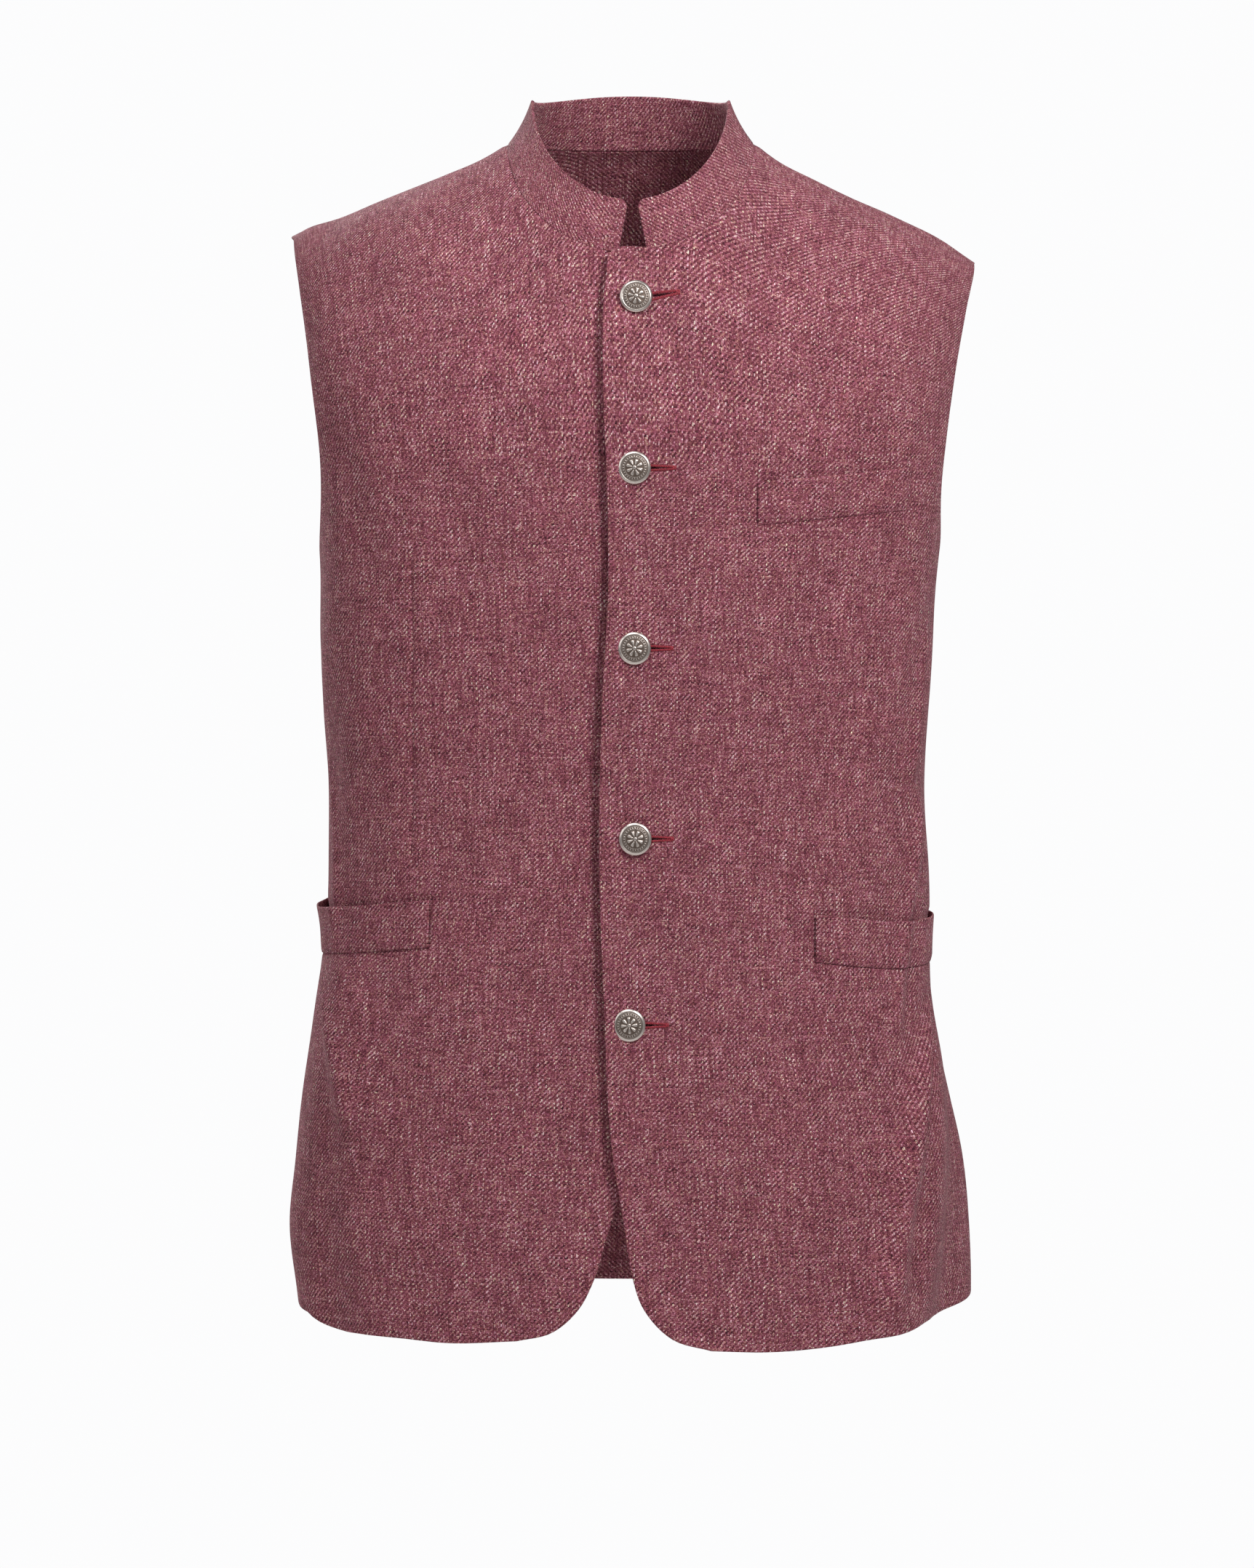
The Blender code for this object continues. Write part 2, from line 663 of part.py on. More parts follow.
def make_front(side):
    """A front with its welts. The wearer's left front laps over the other."""
    is_over = side > 0
    edge, hem = (LAP_EDGE, HEM_LEFT) if is_over else (UNDER_EDGE, HEM_RIGHT)
    centre = on_front(curve_through(edge, EDGE_STEP))
    bottom = on_front(curve_through(hem, EDGE_STEP))
    crossing, start = (NECK_OVER, NECK_OVER_START) if is_over else (NECK_UNDER, NECK_UNDER_START)
    neck = on_front([(x, neck_height(x)) for x in crossing]) + neck_front(side, start)
    tip = TIP_LEFT if is_over else TIP_RIGHT
    shoulder = shoulder_edge(side, NECK_HALF, tip, False)
    armhole = armhole_edge(side, 0.0, underarm_angle())
    seam = side_edge(side)
    hem_end = between(bottom[-1], seam[0])
    outline = joined(centre, bottom, hem_end, seam, armhole[::-1], shoulder[::-1], neck[::-1])
    outline = drawn_in(outline, SEAM_GAP / 2)
    welts = (CHEST_WELT, POCKET_LEFT) if is_over else (POCKET_RIGHT,)
    marks = [welt_outline(welt) for welt in welts]
    holes = [slit(button) for button in BUTTONS] if is_over else []
    flat, faces = net(outline, marks, holes)
    name = "front_left" if is_over else "front_right"
    wall(name, faces, front_skin(flat, 0.0, is_over), front_skin(flat, -WALL, is_over), CLOTH_FINISH)
    for welt, mark in zip(welts, marks):
        points, triangles = part_of(flat, faces, mark)
        under = SEAM_GAP + gape(welt, points)
        inner = front_skin(points, under, is_over)
        outer = front_skin(points, under + WELT_WALL, is_over)
        wall(welt.name, triangles, outer, inner, CLOTH_FINISH)


def make_back():
    """The back, in one piece."""

    def turned(side, edge):
        return [(-side * (HALF_GIRTH - abs(along)), rise) for along, rise in edge]

    halves = []
    for side in (-1, 1):
        low = HEM_SIDE_LEFT if side > 0 else HEM_SIDE_RIGHT
        along_seam = abs(side_edge(side)[0][0])
        hem = []
        for t in np.linspace(0.0, 1.0, HEM_BACK_STEPS + 1):
            z = HEM_BACK + (low - HEM_BACK) * ease(t)
            hem.append((side * (HALF_GIRTH + (along_seam - HALF_GIRTH) * t), z - CHEST_Z))
        tip = TIP_LEFT if side > 0 else TIP_RIGHT
        armhole = armhole_edge(side, underarm_angle(), 360.0)
        shoulder = shoulder_edge(side, NECK_HALF, tip, True)
        halves.append(
            turned(side, hem + side_edge(side) + armhole + shoulder[::-1] + neck_back(side)[::-1])
        )
    right, left = halves
    outline = drawn_in(joined(right, left[::-1]), SEAM_GAP / 2)
    flat, faces = net(outline)
    wall("back", faces, back_skin(flat, 0.0), back_skin(flat, -WALL), CLOTH_FINISH)


def neck_seam(side, turn):
    """The point of the neckline at an angle from centre front."""
    if turn <= math.pi / 2:
        x, z = NECK_HALF * math.sin(turn), NECK_FRONT_Z * math.cos(turn)
        along, rise = locate(side, z, side * x, 0)
        flat = np.array([(side * along, rise)])
        return front_skin(flat, 0.0, side > 0)[0]
    x, z = NECK_HALF * math.sin(turn), -NECK_BACK_Z * math.cos(turn)
    along, rise = locate(side, z, side * x, 0, is_back=True)
    return back_skin(np.array([(-side * (HALF_GIRTH - along), rise)]), 0.0)[0]


def collar_top(side, turn):
    """The point of the collar's top edge at an angle from centre front."""
    ahead = math.cos(turn)
    if ahead > 0:
        depth, end_z, fall = -COLLAR_TOP_FRONT_Y, COLLAR_TOP_FRONT_Z, COLLAR_FRONT_FALL
    else:
        depth, end_z, fall = COLLAR_TOP_BACK_Y, COLLAR_TOP_BACK_Z, COLLAR_BACK_FALL
    x = side * COLLAR_TOP_HALF * math.sin(turn)
    z = COLLAR_TOP_SIDE_Z + (end_z - COLLAR_TOP_SIDE_Z) * abs(ahead) ** fall
    return np.array([x, -depth * ahead, z])


def collar_stations():
    """Side, angle at the seam and angle at the top for each column of the collar."""
    plain = [math.degrees(a) for a in neck_angles()]

    def half(side, end, top_end):
        low_end = math.degrees(math.asin(end / NECK_HALF))
        lean = low_end - math.degrees(math.asin(top_end / COLLAR_TOP_HALF))
        run = math.degrees(COLLAR_LEAN_RUN / NECK_HALF)
        angles = [low_end + step for step in COLLAR_END_STEPS]
        angles += [a for a in plain if a > angles[-1] + 3]
        made = []
        for a in angles:
            top = a - lean * (1 - float(ease((a - low_end) / run)))
            made.append((side, math.radians(a), math.radians(top)))
        return made

    back = [(-1, 180 - a) for a in plain[-2::-1]] + [(1, 180 - a) for a in plain[1:-1]]
    back = [(side, math.radians(a), math.radians(a)) for side, a in back]
    right = half(-1, COLLAR_END_RIGHT, COLLAR_TOP_END_RIGHT)
    left = half(1, COLLAR_END_LEFT, COLLAR_TOP_END_LEFT)
    return right + back + left[::-1]


def make_collar():
    """The band collar, from its right front end round the back to its left one."""
    stations = collar_stations()
    low = np.array([neck_seam(side, low_turn) for side, low_turn, _ in stations])
    top = np.array([collar_top(side, top_turn) for side, _, top_turn in stations])
    up = (top - low) / np.linalg.norm(top - low, axis=1)[:, None]
    low = low + up * SEAM_GAP
    run = np.concatenate([[0.0], np.cumsum(np.linalg.norm(np.diff(low, axis=0), axis=1))])
    from_end = np.minimum(run, run[-1] - run)
    short = COLLAR_ROUND * (1 - np.sqrt(1 - (1 - np.minimum(from_end / COLLAR_ROUND, 1.0)) ** 2))
    top = top - up * short[:, None]
    along = np.gradient(low, axis=0)
    normal = np.cross(up, along)
    normal /= np.linalg.norm(normal, axis=1)[:, None]
    sideways = np.array([math.sin(turn) ** 2 for _, turn, _ in stations])[:, None]
    outer, inner = [], []
    for share in np.linspace(0.0, 1.0, COLLAR_ROWS + 1):
        dish = COLLAR_DISH * sideways * 4 * share * (1 - share)
        row = low + (top - low) * share - normal * dish
        outer.append(row)
        inner.append(row - normal * COLLAR_WALL)
    outer, inner = np.concatenate(outer), np.concatenate(inner)
    count = len(stations)
    faces = []
    for row in range(COLLAR_ROWS):
        for i in range(count - 1):
            a = row * count + i
            faces.append((a, a + count, a + 1 + count, a + 1))
    wall("collar", faces, outer, inner, CLOTH_FINISH)


def button_mesh(seat, lean):
    """A domed button with its shank. The back of its rim is at zero, and the shank
    leans down from the back by an angle, so that it stands square on the cloth."""
    rings = []
    for share in BUTTON_RINGS:
        height = BUTTON_RIM + (BUTTON_DOME - BUTTON_RIM) * math.sqrt(1 - share * share * BUTTON_ROUND)
        rings.append((BUTTON_RADIUS * share, height))
    shank_end = -(seat - SEAM_GAP - SHANK_RADIUS * abs(math.sin(lean))) * math.cos(lean)
    rings += [
        (BUTTON_RADIUS, BUTTON_RIM),
        (BUTTON_BACK_RADIUS, 0.0),
        (SHANK_RADIUS, 0.0),
        (SHANK_RADIUS, shank_end),
    ]
    vertices = [(0.0, 0.0, BUTTON_DOME)]
    for radius, height in rings:
        shift = min(height, 0.0) * math.tan(lean)
        for k in range(BUTTON_STEPS):
            turn = 2 * math.pi * k / BUTTON_STEPS
            vertices.append((radius * math.cos(turn), radius * math.sin(turn) + shift, height))
    following = [(k + 1) % BUTTON_STEPS for k in range(BUTTON_STEPS)]
    faces = [(0, 1 + k, 1 + following[k]) for k in range(BUTTON_STEPS)]
    for row in range(len(rings) - 1):
        first = 1 + row * BUTTON_STEPS
        for k in range(BUTTON_STEPS):
            a, b = first + k, first + following[k]
            faces.append((a, a + BUTTON_STEPS, b + BUTTON_STEPS, b))
    last = 1 + (len(rings) - 1) * BUTTON_STEPS
    faces.append(tuple(last + k for k in reversed(range(BUTTON_STEPS))))
    mesh = bpy.data.meshes.new("button")
    mesh.from_pydata(vertices, [], faces)
    mesh.shade_smooth()
    mesh.set_sharp_from_angle(angle=math.radians(40))
    return mesh


def make_buttons():
    """The five buttons, each with its shank through its hole."""
    metal = material("button", METAL_FINISH)
    for i, button in enumerate(BUTTONS):
        side = 1 if button.x >= 0 else -1
        along, rise = locate(side, button.z, button.x, 0)
        places = []
        for dx, dz in ((0, 0), (0.001, 0), (0, 0.001)):
            flat = np.array([(side * along + dx, rise + dz)])
            places.append(Vector(front_skin(flat, 0.0, False)[0]))
        normal = (places[1] - places[0]).cross(places[2] - places[0]).normalized()
        facing = Vector((normal.x, normal.y, normal.z * BUTTON_SLOPE)).normalized()
        upright = facing.cross(Vector((1, 0, 0))).normalized()
        lean = math.asin(normal.dot(upright))
        seat = WALL + LAP_GAP + SEAM_GAP + BUTTON_BACK_RADIUS * abs(math.sin(lean))
        mesh = button_mesh(seat, lean)
        mesh.materials.append(metal)
        piece = bpy.data.objects.new(f"button_{i + 1}", mesh)
        turning = Matrix((upright.cross(facing), upright, facing)).transposed()
        piece.rotation_euler = turning.to_euler()
        piece.location = places[0] + normal * seat
        COLLECTION.objects.link(piece)


for old in list(bpy.data.objects):
    bpy.data.objects.remove(old, do_unlink=True)
COLLECTION = bpy.data.collections.new(OBJECT_NAME)
bpy.context.scene.collection.children.link(COLLECTION)
make_front(1)
make_front(-1)
make_back()
make_collar()
make_buttons()
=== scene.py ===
"""Looks of the nehru jacket: fine cloth shells with their creases, twill, buttonhole
stitching, relief on the buttons, studio light and camera.

Metres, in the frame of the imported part. The cloth follows the same skin as the part's
solids: each piece is cut flat in pattern coordinates (along, rise), filled with small
triangles, and laid on the skin as a thin shell with turned edges.
"""

import math
from collections import namedtuple

import bmesh
import bpy
import numpy as np
from mathutils import Matrix, Vector
from mathutils.geometry import delaunay_2d_cdt
from mathutils.kdtree import KDTree


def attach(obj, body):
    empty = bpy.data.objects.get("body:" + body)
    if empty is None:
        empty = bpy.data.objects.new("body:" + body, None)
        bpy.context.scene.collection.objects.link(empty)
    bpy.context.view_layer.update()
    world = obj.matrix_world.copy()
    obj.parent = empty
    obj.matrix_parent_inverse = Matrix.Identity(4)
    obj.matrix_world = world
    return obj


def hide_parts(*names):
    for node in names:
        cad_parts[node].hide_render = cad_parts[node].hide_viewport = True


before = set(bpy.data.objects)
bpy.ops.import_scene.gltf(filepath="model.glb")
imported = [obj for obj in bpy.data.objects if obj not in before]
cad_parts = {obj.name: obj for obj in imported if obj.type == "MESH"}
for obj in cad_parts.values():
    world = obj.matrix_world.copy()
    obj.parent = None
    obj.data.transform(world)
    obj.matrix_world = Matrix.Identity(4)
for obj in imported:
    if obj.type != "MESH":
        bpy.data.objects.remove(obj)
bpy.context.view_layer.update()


def rows(kind, *values):
    """A table whose rows have named columns."""
    return tuple(kind(*row) for row in values)


# Cloth
WALL = 0.0018
COLLAR_WALL = 0.0026
SEAM_OVER = 0.00015
SEAM_CALM = 0.020
NECK_CALM = 0.023
# A seam draws the cloth in beside it.
SEAM_SUNK = 0.0010
SEAM_SUNK_WIDE = 0.0050
LAP_GAP = 0.0007
NET_STEP = 0.0042
EDGE_STEP = 0.0040
EDGE_RINGS = (0.0003, 0.0009, 0.0018)
EDGE_ROUND = 0.0014
EDGE_THIN = 0.40
SAME_POINT = 1e-6
NET_CLEAR = 0.6

# The body of the jacket, from hem to shoulder. Half widths are to the wearer's right
# and left, depths are from the neck's centre line, and squareness 2 is an ellipse.
Section = namedtuple("Section", "z right left front back square_front square_back")
SECTIONS = rows(
    Section,
    (-0.770, 0.209, 0.215, 0.131, 0.118, 2.7, 2.5),
    (-0.735, 0.213, 0.2175, 0.131, 0.117, 2.7, 2.5),
    (-0.690, 0.217, 0.2170, 0.130, 0.116, 2.7, 2.5),
    (-0.650, 0.2135, 0.2130, 0.129, 0.113, 2.7, 2.5),
    (-0.608, 0.209, 0.2045, 0.128, 0.110, 2.7, 2.5),
    (-0.560, 0.2025, 0.1935, 0.127, 0.105, 2.7, 2.5),
    (-0.514, 0.196, 0.1905, 0.126, 0.100, 2.7, 2.4),
    (-0.465, 0.1925, 0.190, 0.126, 0.097, 2.7, 2.4),
    (-0.412, 0.192, 0.187, 0.127, 0.097, 2.7, 2.4),
    (-0.365, 0.1955, 0.1895, 0.129, 0.101, 2.8, 2.4),
    (-0.319, 0.198, 0.192, 0.131, 0.107, 2.9, 2.5),
    (-0.271, 0.197, 0.1955, 0.1325, 0.113, 3.0, 2.6),
    (-0.215, 0.202, 0.203, 0.133, 0.117, 3.0, 2.6),
    (-0.170, 0.2075, 0.210, 0.133, 0.117, 3.0, 2.6),
    (-0.132, 0.2125, 0.216, 0.133, 0.117, 3.0, 2.6),
    (-0.095, 0.2175, 0.2245, 0.133, 0.117, 3.0, 2.6),
    (-0.064, 0.2235, 0.232, 0.133, 0.117, 3.0, 2.6),
    (-0.030, 0.224, 0.232, 0.133, 0.117, 3.0, 2.6),
    (0.060, 0.224, 0.232, 0.133, 0.117, 3.0, 2.6),
)

# Height of the shoulder line at a distance from the centre. It goes on inside the
# neck hole, where it only shapes the skin below the neckline.
Shoulder = namedtuple("Shoulder", "x right left")
SHOULDER_LINE = rows(
    Shoulder,
    (0.000, 0.040, 0.040),
    (0.039, 0.030, 0.030),
    (0.062, 0.014, 0.014),
    (0.078, 0.000, 0.000),
    (0.095, -0.011, -0.0125),
    (0.118, -0.0207, -0.0245),
    (0.142, -0.0303, -0.0360),
    (0.164, -0.0393, -0.0455),
    (0.188, -0.0495, -0.0575),
    (0.208, -0.0560, -0.0685),
    (0.228, -0.0655, -0.0800),
)

# Above this height the skin leans in over the chest and the shoulder blades.
CHEST_Z = -0.215
CROWN = 0.250
NECK_BLEND = 0.70
SHOULDER_POWER = 1.2
NECK_POWER = 2.3
BACK_POWER = 1.0

# Neckline and collar
NECK_HALF = 0.078
NECK_FRONT_Z = -0.081
NECK_BACK_Z = 0.005
NECK_STEPS = 45
NECK_CLEAR = 0.05
# Neckline points near the centre of the over and the under front, and the distance
# from the centre at which the plain neckline begins.
NECK_OVER = (-0.001, 0.008)
NECK_OVER_START = 0.016
NECK_UNDER = (0.008, -0.002)
NECK_UNDER_START = 0.011
COLLAR_TOP_HALF = 0.0635
COLLAR_TOP_FRONT_Y = -0.081
COLLAR_TOP_BACK_Y = 0.053
COLLAR_TOP_FRONT_Z = -0.0475
COLLAR_TOP_SIDE_Z = 0.0275
COLLAR_TOP_BACK_Z = 0.0385
COLLAR_FRONT_FALL = 1.1
COLLAR_BACK_FALL = 2.0
COLLAR_DISH = 0.0015
COLLAR_TUCK = 0.0016
COLLAR_END_LEFT = 0.0096
COLLAR_END_RIGHT = 0.0074
COLLAR_TOP_END_LEFT = 0.0036
COLLAR_TOP_END_RIGHT = 0.0014
COLLAR_LEAN_RUN = 0.030
COLLAR_ROUND = 0.0070
COLLAR_END_STEPS = (0.0, 0.15, 0.5, 1.0, 1.5, 2.1, 2.8, 3.6, 4.4, 5.2, 6.5)
COLLAR_LOW_SHARES = (0.0, 0.008, 0.025, 0.05, 0.12, 0.2, 0.3, 0.4)
COLLAR_SHARES = (*COLLAR_LOW_SHARES, 0.5, 0.6, 0.7, 0.8, 0.88, 0.95, 0.975, 0.992, 1.0)

# Armholes
TIP_RIGHT = 0.218
TIP_LEFT = 0.2235
UNDERARM_Z = -0.271
ARMHOLE_REACH = 0.062
ARMHOLE_SKEW = 0.30
ARMHOLE_STEPS = 150
# Armhole angles between which the side seam is looked for, and how many are tried.
UNDERARM_SEARCH = (180.0, 230.0, 501)
SIDE_SEAM_Y = 0.018

# Edges of the fronts at the centre and the hem, top to bottom, then outwards.
Edge = namedtuple("Edge", "x z")
LAP_EDGE = rows(
    Edge,
    (-0.0070, -0.0815), (-0.0118, -0.0850), (-0.0145, -0.100), (-0.0166, -0.162),
    (-0.0142, -0.225), (-0.0132, -0.287), (-0.0170, -0.363), (-0.0187, -0.455),
    (-0.0155, -0.554), (-0.0110, -0.635), (-0.0042, -0.6775), (-0.0004, -0.704),
    (0.0080, -0.7306), (0.0250, -0.7485), (0.0480, -0.7555),
)
HEM_LEFT = rows(
    Edge,
    (0.0480, -0.7555), (0.0800, -0.7574), (0.1260, -0.7546), (0.1460, -0.7514),
    (0.1650, -0.7488), (0.1760, -0.7466), (0.1850, -0.7446), (0.1950, -0.7440),
    (0.2050, -0.7434),
)
UNDER_EDGE = rows(
    Edge,
    (0.0170, -0.0795), (0.0170, -0.300), (0.0170, -0.500), (0.0090, -0.590), (-0.0075, -0.664),
    (-0.0150, -0.6875), (-0.0226, -0.713), (-0.0320, -0.731), (-0.0480, -0.745),
    (-0.0700, -0.7505),
)
HEM_RIGHT = rows(
    Edge,
    (-0.0700, -0.7505), (-0.1100, -0.7524), (-0.1480, -0.7508), (-0.1700, -0.7504),
    (-0.1834, -0.7503), (-0.1927, -0.7484), (-0.1990, -0.7451), (-0.2035, -0.7418),
)
# Height of the hem at the side seams: 1 is the wearer's left side, -1 the right.
HEM_SIDE = {1: -0.7312, -1: -0.7350}
HEM_BACK = -0.742
HEM_BACK_STEPS = 70

# The over front lies on the under front round the centre and drops to the skin
# between these distances from it.
LAP_FLAT = 0.032
LAP_END = 0.085
# The lap's edge stands off, and the under front sinks beside it.
LAP_STAND = 0.0034
LAP_STAND_WIDE = 0.024
LAP_SHADE = 0.0020
LAP_SHADE_WIDE = 0.010

# Soft folds. Each row gives the crest's or trough's distance round the skin from the
# centre front, positive to the wearer's left, at its top and low ends, how much its
# line bends on the way, its half width, its height (negative for a trough) and the
# length over which it grows and dies out at its ends.
Fold = namedtuple("Fold", "name at_top z_top at_low z_low bend wide high grow")
FRONT_FOLDS = rows(
    Fold,
    ("left_side_crest", 0.232, -0.540, 0.154, -0.900, 3.00, 0.020, 0.0045, 0.120),
    ("left_side_hollow", 0.285, -0.560, 0.205, -0.900, 2.00, 0.030, -0.0140, 0.140),
    ("left_waist_crest", 0.209, -0.330, 0.233, -0.520, 1.00, 0.022, 0.0025, 0.080),
    ("right_pocket_crest", -0.221, -0.500, -0.174, -0.640, 1.20, 0.022, 0.0035, 0.040),
    ("right_side_hollow", -0.205, -0.600, -0.188, -0.900, 1.00, 0.024, -0.0060, 0.110),
)
# The back's folds are measured from the centre back, positive to the wearer's right.
BACK_FOLDS = rows(
    Fold,
    ("waist_left", -0.129, -0.330, -0.098, -0.600, 1.00, 0.034, -0.0045, 0.090),
    ("waist_right", 0.136, -0.345, 0.104, -0.630, 1.00, 0.034, -0.0045, 0.090),
    ("hem_left", -0.165, -0.520, -0.150, -0.900, 1.00, 0.036, 0.0060, 0.140),
    ("hem_right", 0.168, -0.545, 0.158, -0.900, 1.00, 0.036, 0.0055, 0.140),
)
FOLDS_END = 0.265
FOLDS_SIDE = 0.030

# Welts: the corners seen from the front, and how far the mouth gapes at the outer end.
Welt = namedtuple("Welt", "name inner_x outer_x outer_y top_inner top_outer tall gape")
CHEST_WELT = Welt("chest_welt", 0.0775, 0.174, None, -0.2275, -0.2155, 0.026, 0.0)
POCKET_LEFT = Welt("pocket_welt_left", 0.113, None, 0.009, -0.4925, -0.4925, 0.029, 0.0014)
POCKET_RIGHT = Welt("pocket_welt_right", -0.1235, None, 0.009, -0.4845, -0.4885, 0.029, 0.0056)
WELT_BASE = 0.0001
WELT_WALL = 0.0014
# A welt's low edge and outer end are sewn down over this distance.
WELT_SUNK = 0.0008
WELT_RISE = 0.004
# Shares of the welt's length where the mouth starts to gape and where it gapes most.
GAPE_START = 0.35
GAPE_PEAK = 0.84
GAPE_POWER = 1.5
# How far a welt's long edges bow up from straight, by the share of its length outwards.
Bow = namedtuple("Bow", "share up")
BOWS = {
    "chest_welt": (Bow(0.0, 0.0), Bow(0.5, -0.0004), Bow(1.0, 0.0)),
    "pocket_welt_left": (
        Bow(0.0, 0.0014),
        Bow(0.2, -0.0020),
        Bow(0.4, -0.0040),
        Bow(0.6, -0.0028),
        Bow(0.8, -0.0004),
        Bow(1.0, 0.0008),
    ),
    "pocket_welt_right": (
        Bow(0.0, 0.0022),
        Bow(0.25, 0.0001),
        Bow(0.55, -0.0012),
        Bow(0.78, -0.0004),
        Bow(1.0, 0.0050),
    ),
}
# The front under a welt's mouth and beside its inner end sinks a little, and less if
# the mouth lies flat.
MOUTH_SUNK = 0.0012
MOUTH_WIDE = 0.006
# How fast the sinking begins towards a mouth's outer end, below its top edge and up.
MOUTH_END = 6
MOUTH_BELOW = 0.05
MOUTH_UP = 8
FLAT_MOUTH = 0.6
FLAT_SUNK = 0.0002

# Buttons and their holes. A button hangs from its shank, so it takes only part of the
# slope of the cloth.
BUTTON_SLOPE = 0.2
SHANK_RADIUS = 0.00075
CAD_SEAM_GAP = 0.0003
Button = namedtuple("Button", "x z")
BUTTONS = rows(
    Button,
    (0.0030, -0.1150),
    (0.0022, -0.2190),
    (0.0022, -0.3285),
    (0.0027, -0.4445),
    (-0.0010, -0.5580),
)
BUTTON_RADIUS = 0.0100
BUTTON_RIM = 0.0010
BUTTON_DOME = 0.0042
BUTTON_ROUND = 0.94
BUTTON_BACK_RADIUS = 0.0088
BUTTON_BACK = ((0.0100, 0.0010), (0.0096, 0.0003), (0.0088, 0.0), (0.0008, 0.0))
BUTTON_TURNS = (0.2, 1.1, 0.5, 2.0, 1.5)
RELIEF_DEPTH = 0.00045
HOLE_BEFORE = 0.0022
HOLE_AFTER = 0.0235

# Finer creases and seams, in the same form as the folds: distances round the skin from
# the centre front, positive to the wearer's left, or from the centre back.
FRONT_CREASES = rows(
    Fold,
    ("left_armhole_drag", 0.205, -0.150, 0.168, -0.330, 1.50, 0.016, -0.0018, 0.060),
    ("left_waist_ridge", 0.226, -0.300, 0.209, -0.418, 1.00, 0.0070, 0.0030, 0.030),
    ("left_waist_dip", 0.238, -0.300, 0.221, -0.418, 1.00, 0.007, -0.0018, 0.030),
    ("left_pocket_ridge", 0.2245, -0.410, 0.181, -0.580, 1.00, 0.0070, 0.0030, 0.028),
    ("left_pocket_dip", 0.2365, -0.410, 0.193, -0.580, 1.00, 0.008, -0.0018, 0.028),
    ("left_fold_edge", 0.254, -0.530, 0.153, -0.758, 2.20, 0.0085, 0.0046, 0.045),
    ("left_fold_dip", 0.271, -0.530, 0.171, -0.752, 2.20, 0.011, -0.0050, 0.055),
    ("left_belly_hollow", 0.130, -0.200, 0.150, -0.480, 1.00, 0.034, -0.0022, 0.120),
    ("left_hem_wave", 0.090, -0.640, 0.082, -0.900, 1.00, 0.026, -0.0010, 0.080),
    ("right_armhole_drag", -0.200, -0.160, -0.165, -0.320, 1.40, 0.015, -0.0018, 0.060),
    ("right_chest_wave", -0.105, -0.110, -0.128, -0.300, 1.00, 0.024, -0.0010, 0.080),
    ("right_waist_ridge", -0.246, -0.380, -0.212, -0.520, 1.00, 0.006, 0.0022, 0.035),
    ("right_side_ridge", -0.250, -0.515, -0.180, -0.640, 2.00, 0.007, 0.0026, 0.035),
    ("right_side_dip", -0.262, -0.520, -0.194, -0.660, 2.00, 0.010, -0.0020, 0.040),
    ("right_hip_wave", -0.150, -0.480, -0.138, -0.900, 1.00, 0.026, -0.0012, 0.120),
    ("right_hem_ridge", -0.212, -0.620, -0.215, -0.900, 1.00, 0.010, 0.0012, 0.080),
)
BACK_CREASES = rows(
    Fold,
    ("centre_hollow", 0.000, -0.180, 0.004, -0.480, 1.00, 0.032, -0.0050, 0.120),
    ("left_blade_drag", -0.170, -0.170, -0.120, -0.360, 1.50, 0.014, -0.0038, 0.070),
    ("right_blade_drag", 0.175, -0.160, 0.128, -0.345, 1.50, 0.015, -0.0036, 0.070),
    ("left_waist_break", -0.205, -0.330, -0.160, -0.440, 1.00, 0.010, 0.0036, 0.040),
    ("right_waist_break", 0.198, -0.345, 0.150, -0.470, 1.00, 0.010, 0.0034, 0.050),
    ("left_hem_fold", -0.095, -0.560, -0.088, -0.900, 1.00, 0.018, -0.0042, 0.110),
    ("right_hem_fold", 0.062, -0.590, 0.070, -0.900, 1.00, 0.020, -0.0040, 0.100),
)
# Slow unevenness of the whole cloth: wavelength along and up, height and phase.
Wave = namedtuple("Wave", "along rise high phase")
WAVES = rows(
    Wave,
    (0.093, 0.210, 0.00030, 0.4),
    (-0.061, 0.140, 0.00022, 2.1),
    (0.047, -0.190, 0.00014, 4.0),
    (-0.120, 0.083, 0.00018, 5.2),
)
# The dart of the wearer's right front: a sewn line that draws the cloth in a little.
Dart = namedtuple("Dart", "x_top z_top x_low z_low wide deep")
DART_RIGHT = Dart(-0.1340, -0.2560, -0.1345, -0.4710, 0.0010, 0.0009)
DART_END = 0.03

# Buttonhole stitching
HOLE_TILTS = (0.20, 0.0, 0.0, 0.0, 0.0)
# Half the slit's opening at the button, and the share of it left at the far end.
SLIT_HALF = 0.0013
SLIT_CLOSED = 0.15
SLIT_POWER = 1.3
STITCH_STEP = 0.00052
STITCH_RADIUS = 0.00024
STITCH_SIDES = 6
# A stitch seen along itself: distance from the slit's edge and height over the cloth.
STITCH_ARCH = (
    (-0.0001, -0.0004),
    (0.0001, 0.0003),
    (0.0005, 0.0005),
    (0.0009, 0.0003),
    (0.0011, -0.0002),
)
STITCH_UNEVEN = 0.00012
STITCH_SHIFT = 0.0001
# The bar across a buttonhole's outer end: its stitches, their height and roundness, and
# how deep they start.
TACK_STITCHES = 4
TACK_HIGH = 0.0007
TACK_ROUND = 0.98
TACK_SUNK = 0.0002

# Button relief
RELIEF_RINGS = 44
RELIEF_SPOKES = 144
PETALS = 8
BEADS = 28
# Where the flower, its centre, the beads and the two plain rings lie, as shares of the
# button's radius.
PETAL_START = 0.13
PETAL_END = 0.56
CENTRE_END = 0.12
BEAD_RING = 0.68
BEAD_WIDE = 0.035
RINGS = (0.605, 0.76)
RING_WIDE = 0.018
RELIEF_END = 0.86
# The rim outside this share is worn bright, and the back is duller.
WORN_FROM = 0.83
BACK_WEAR = 0.6

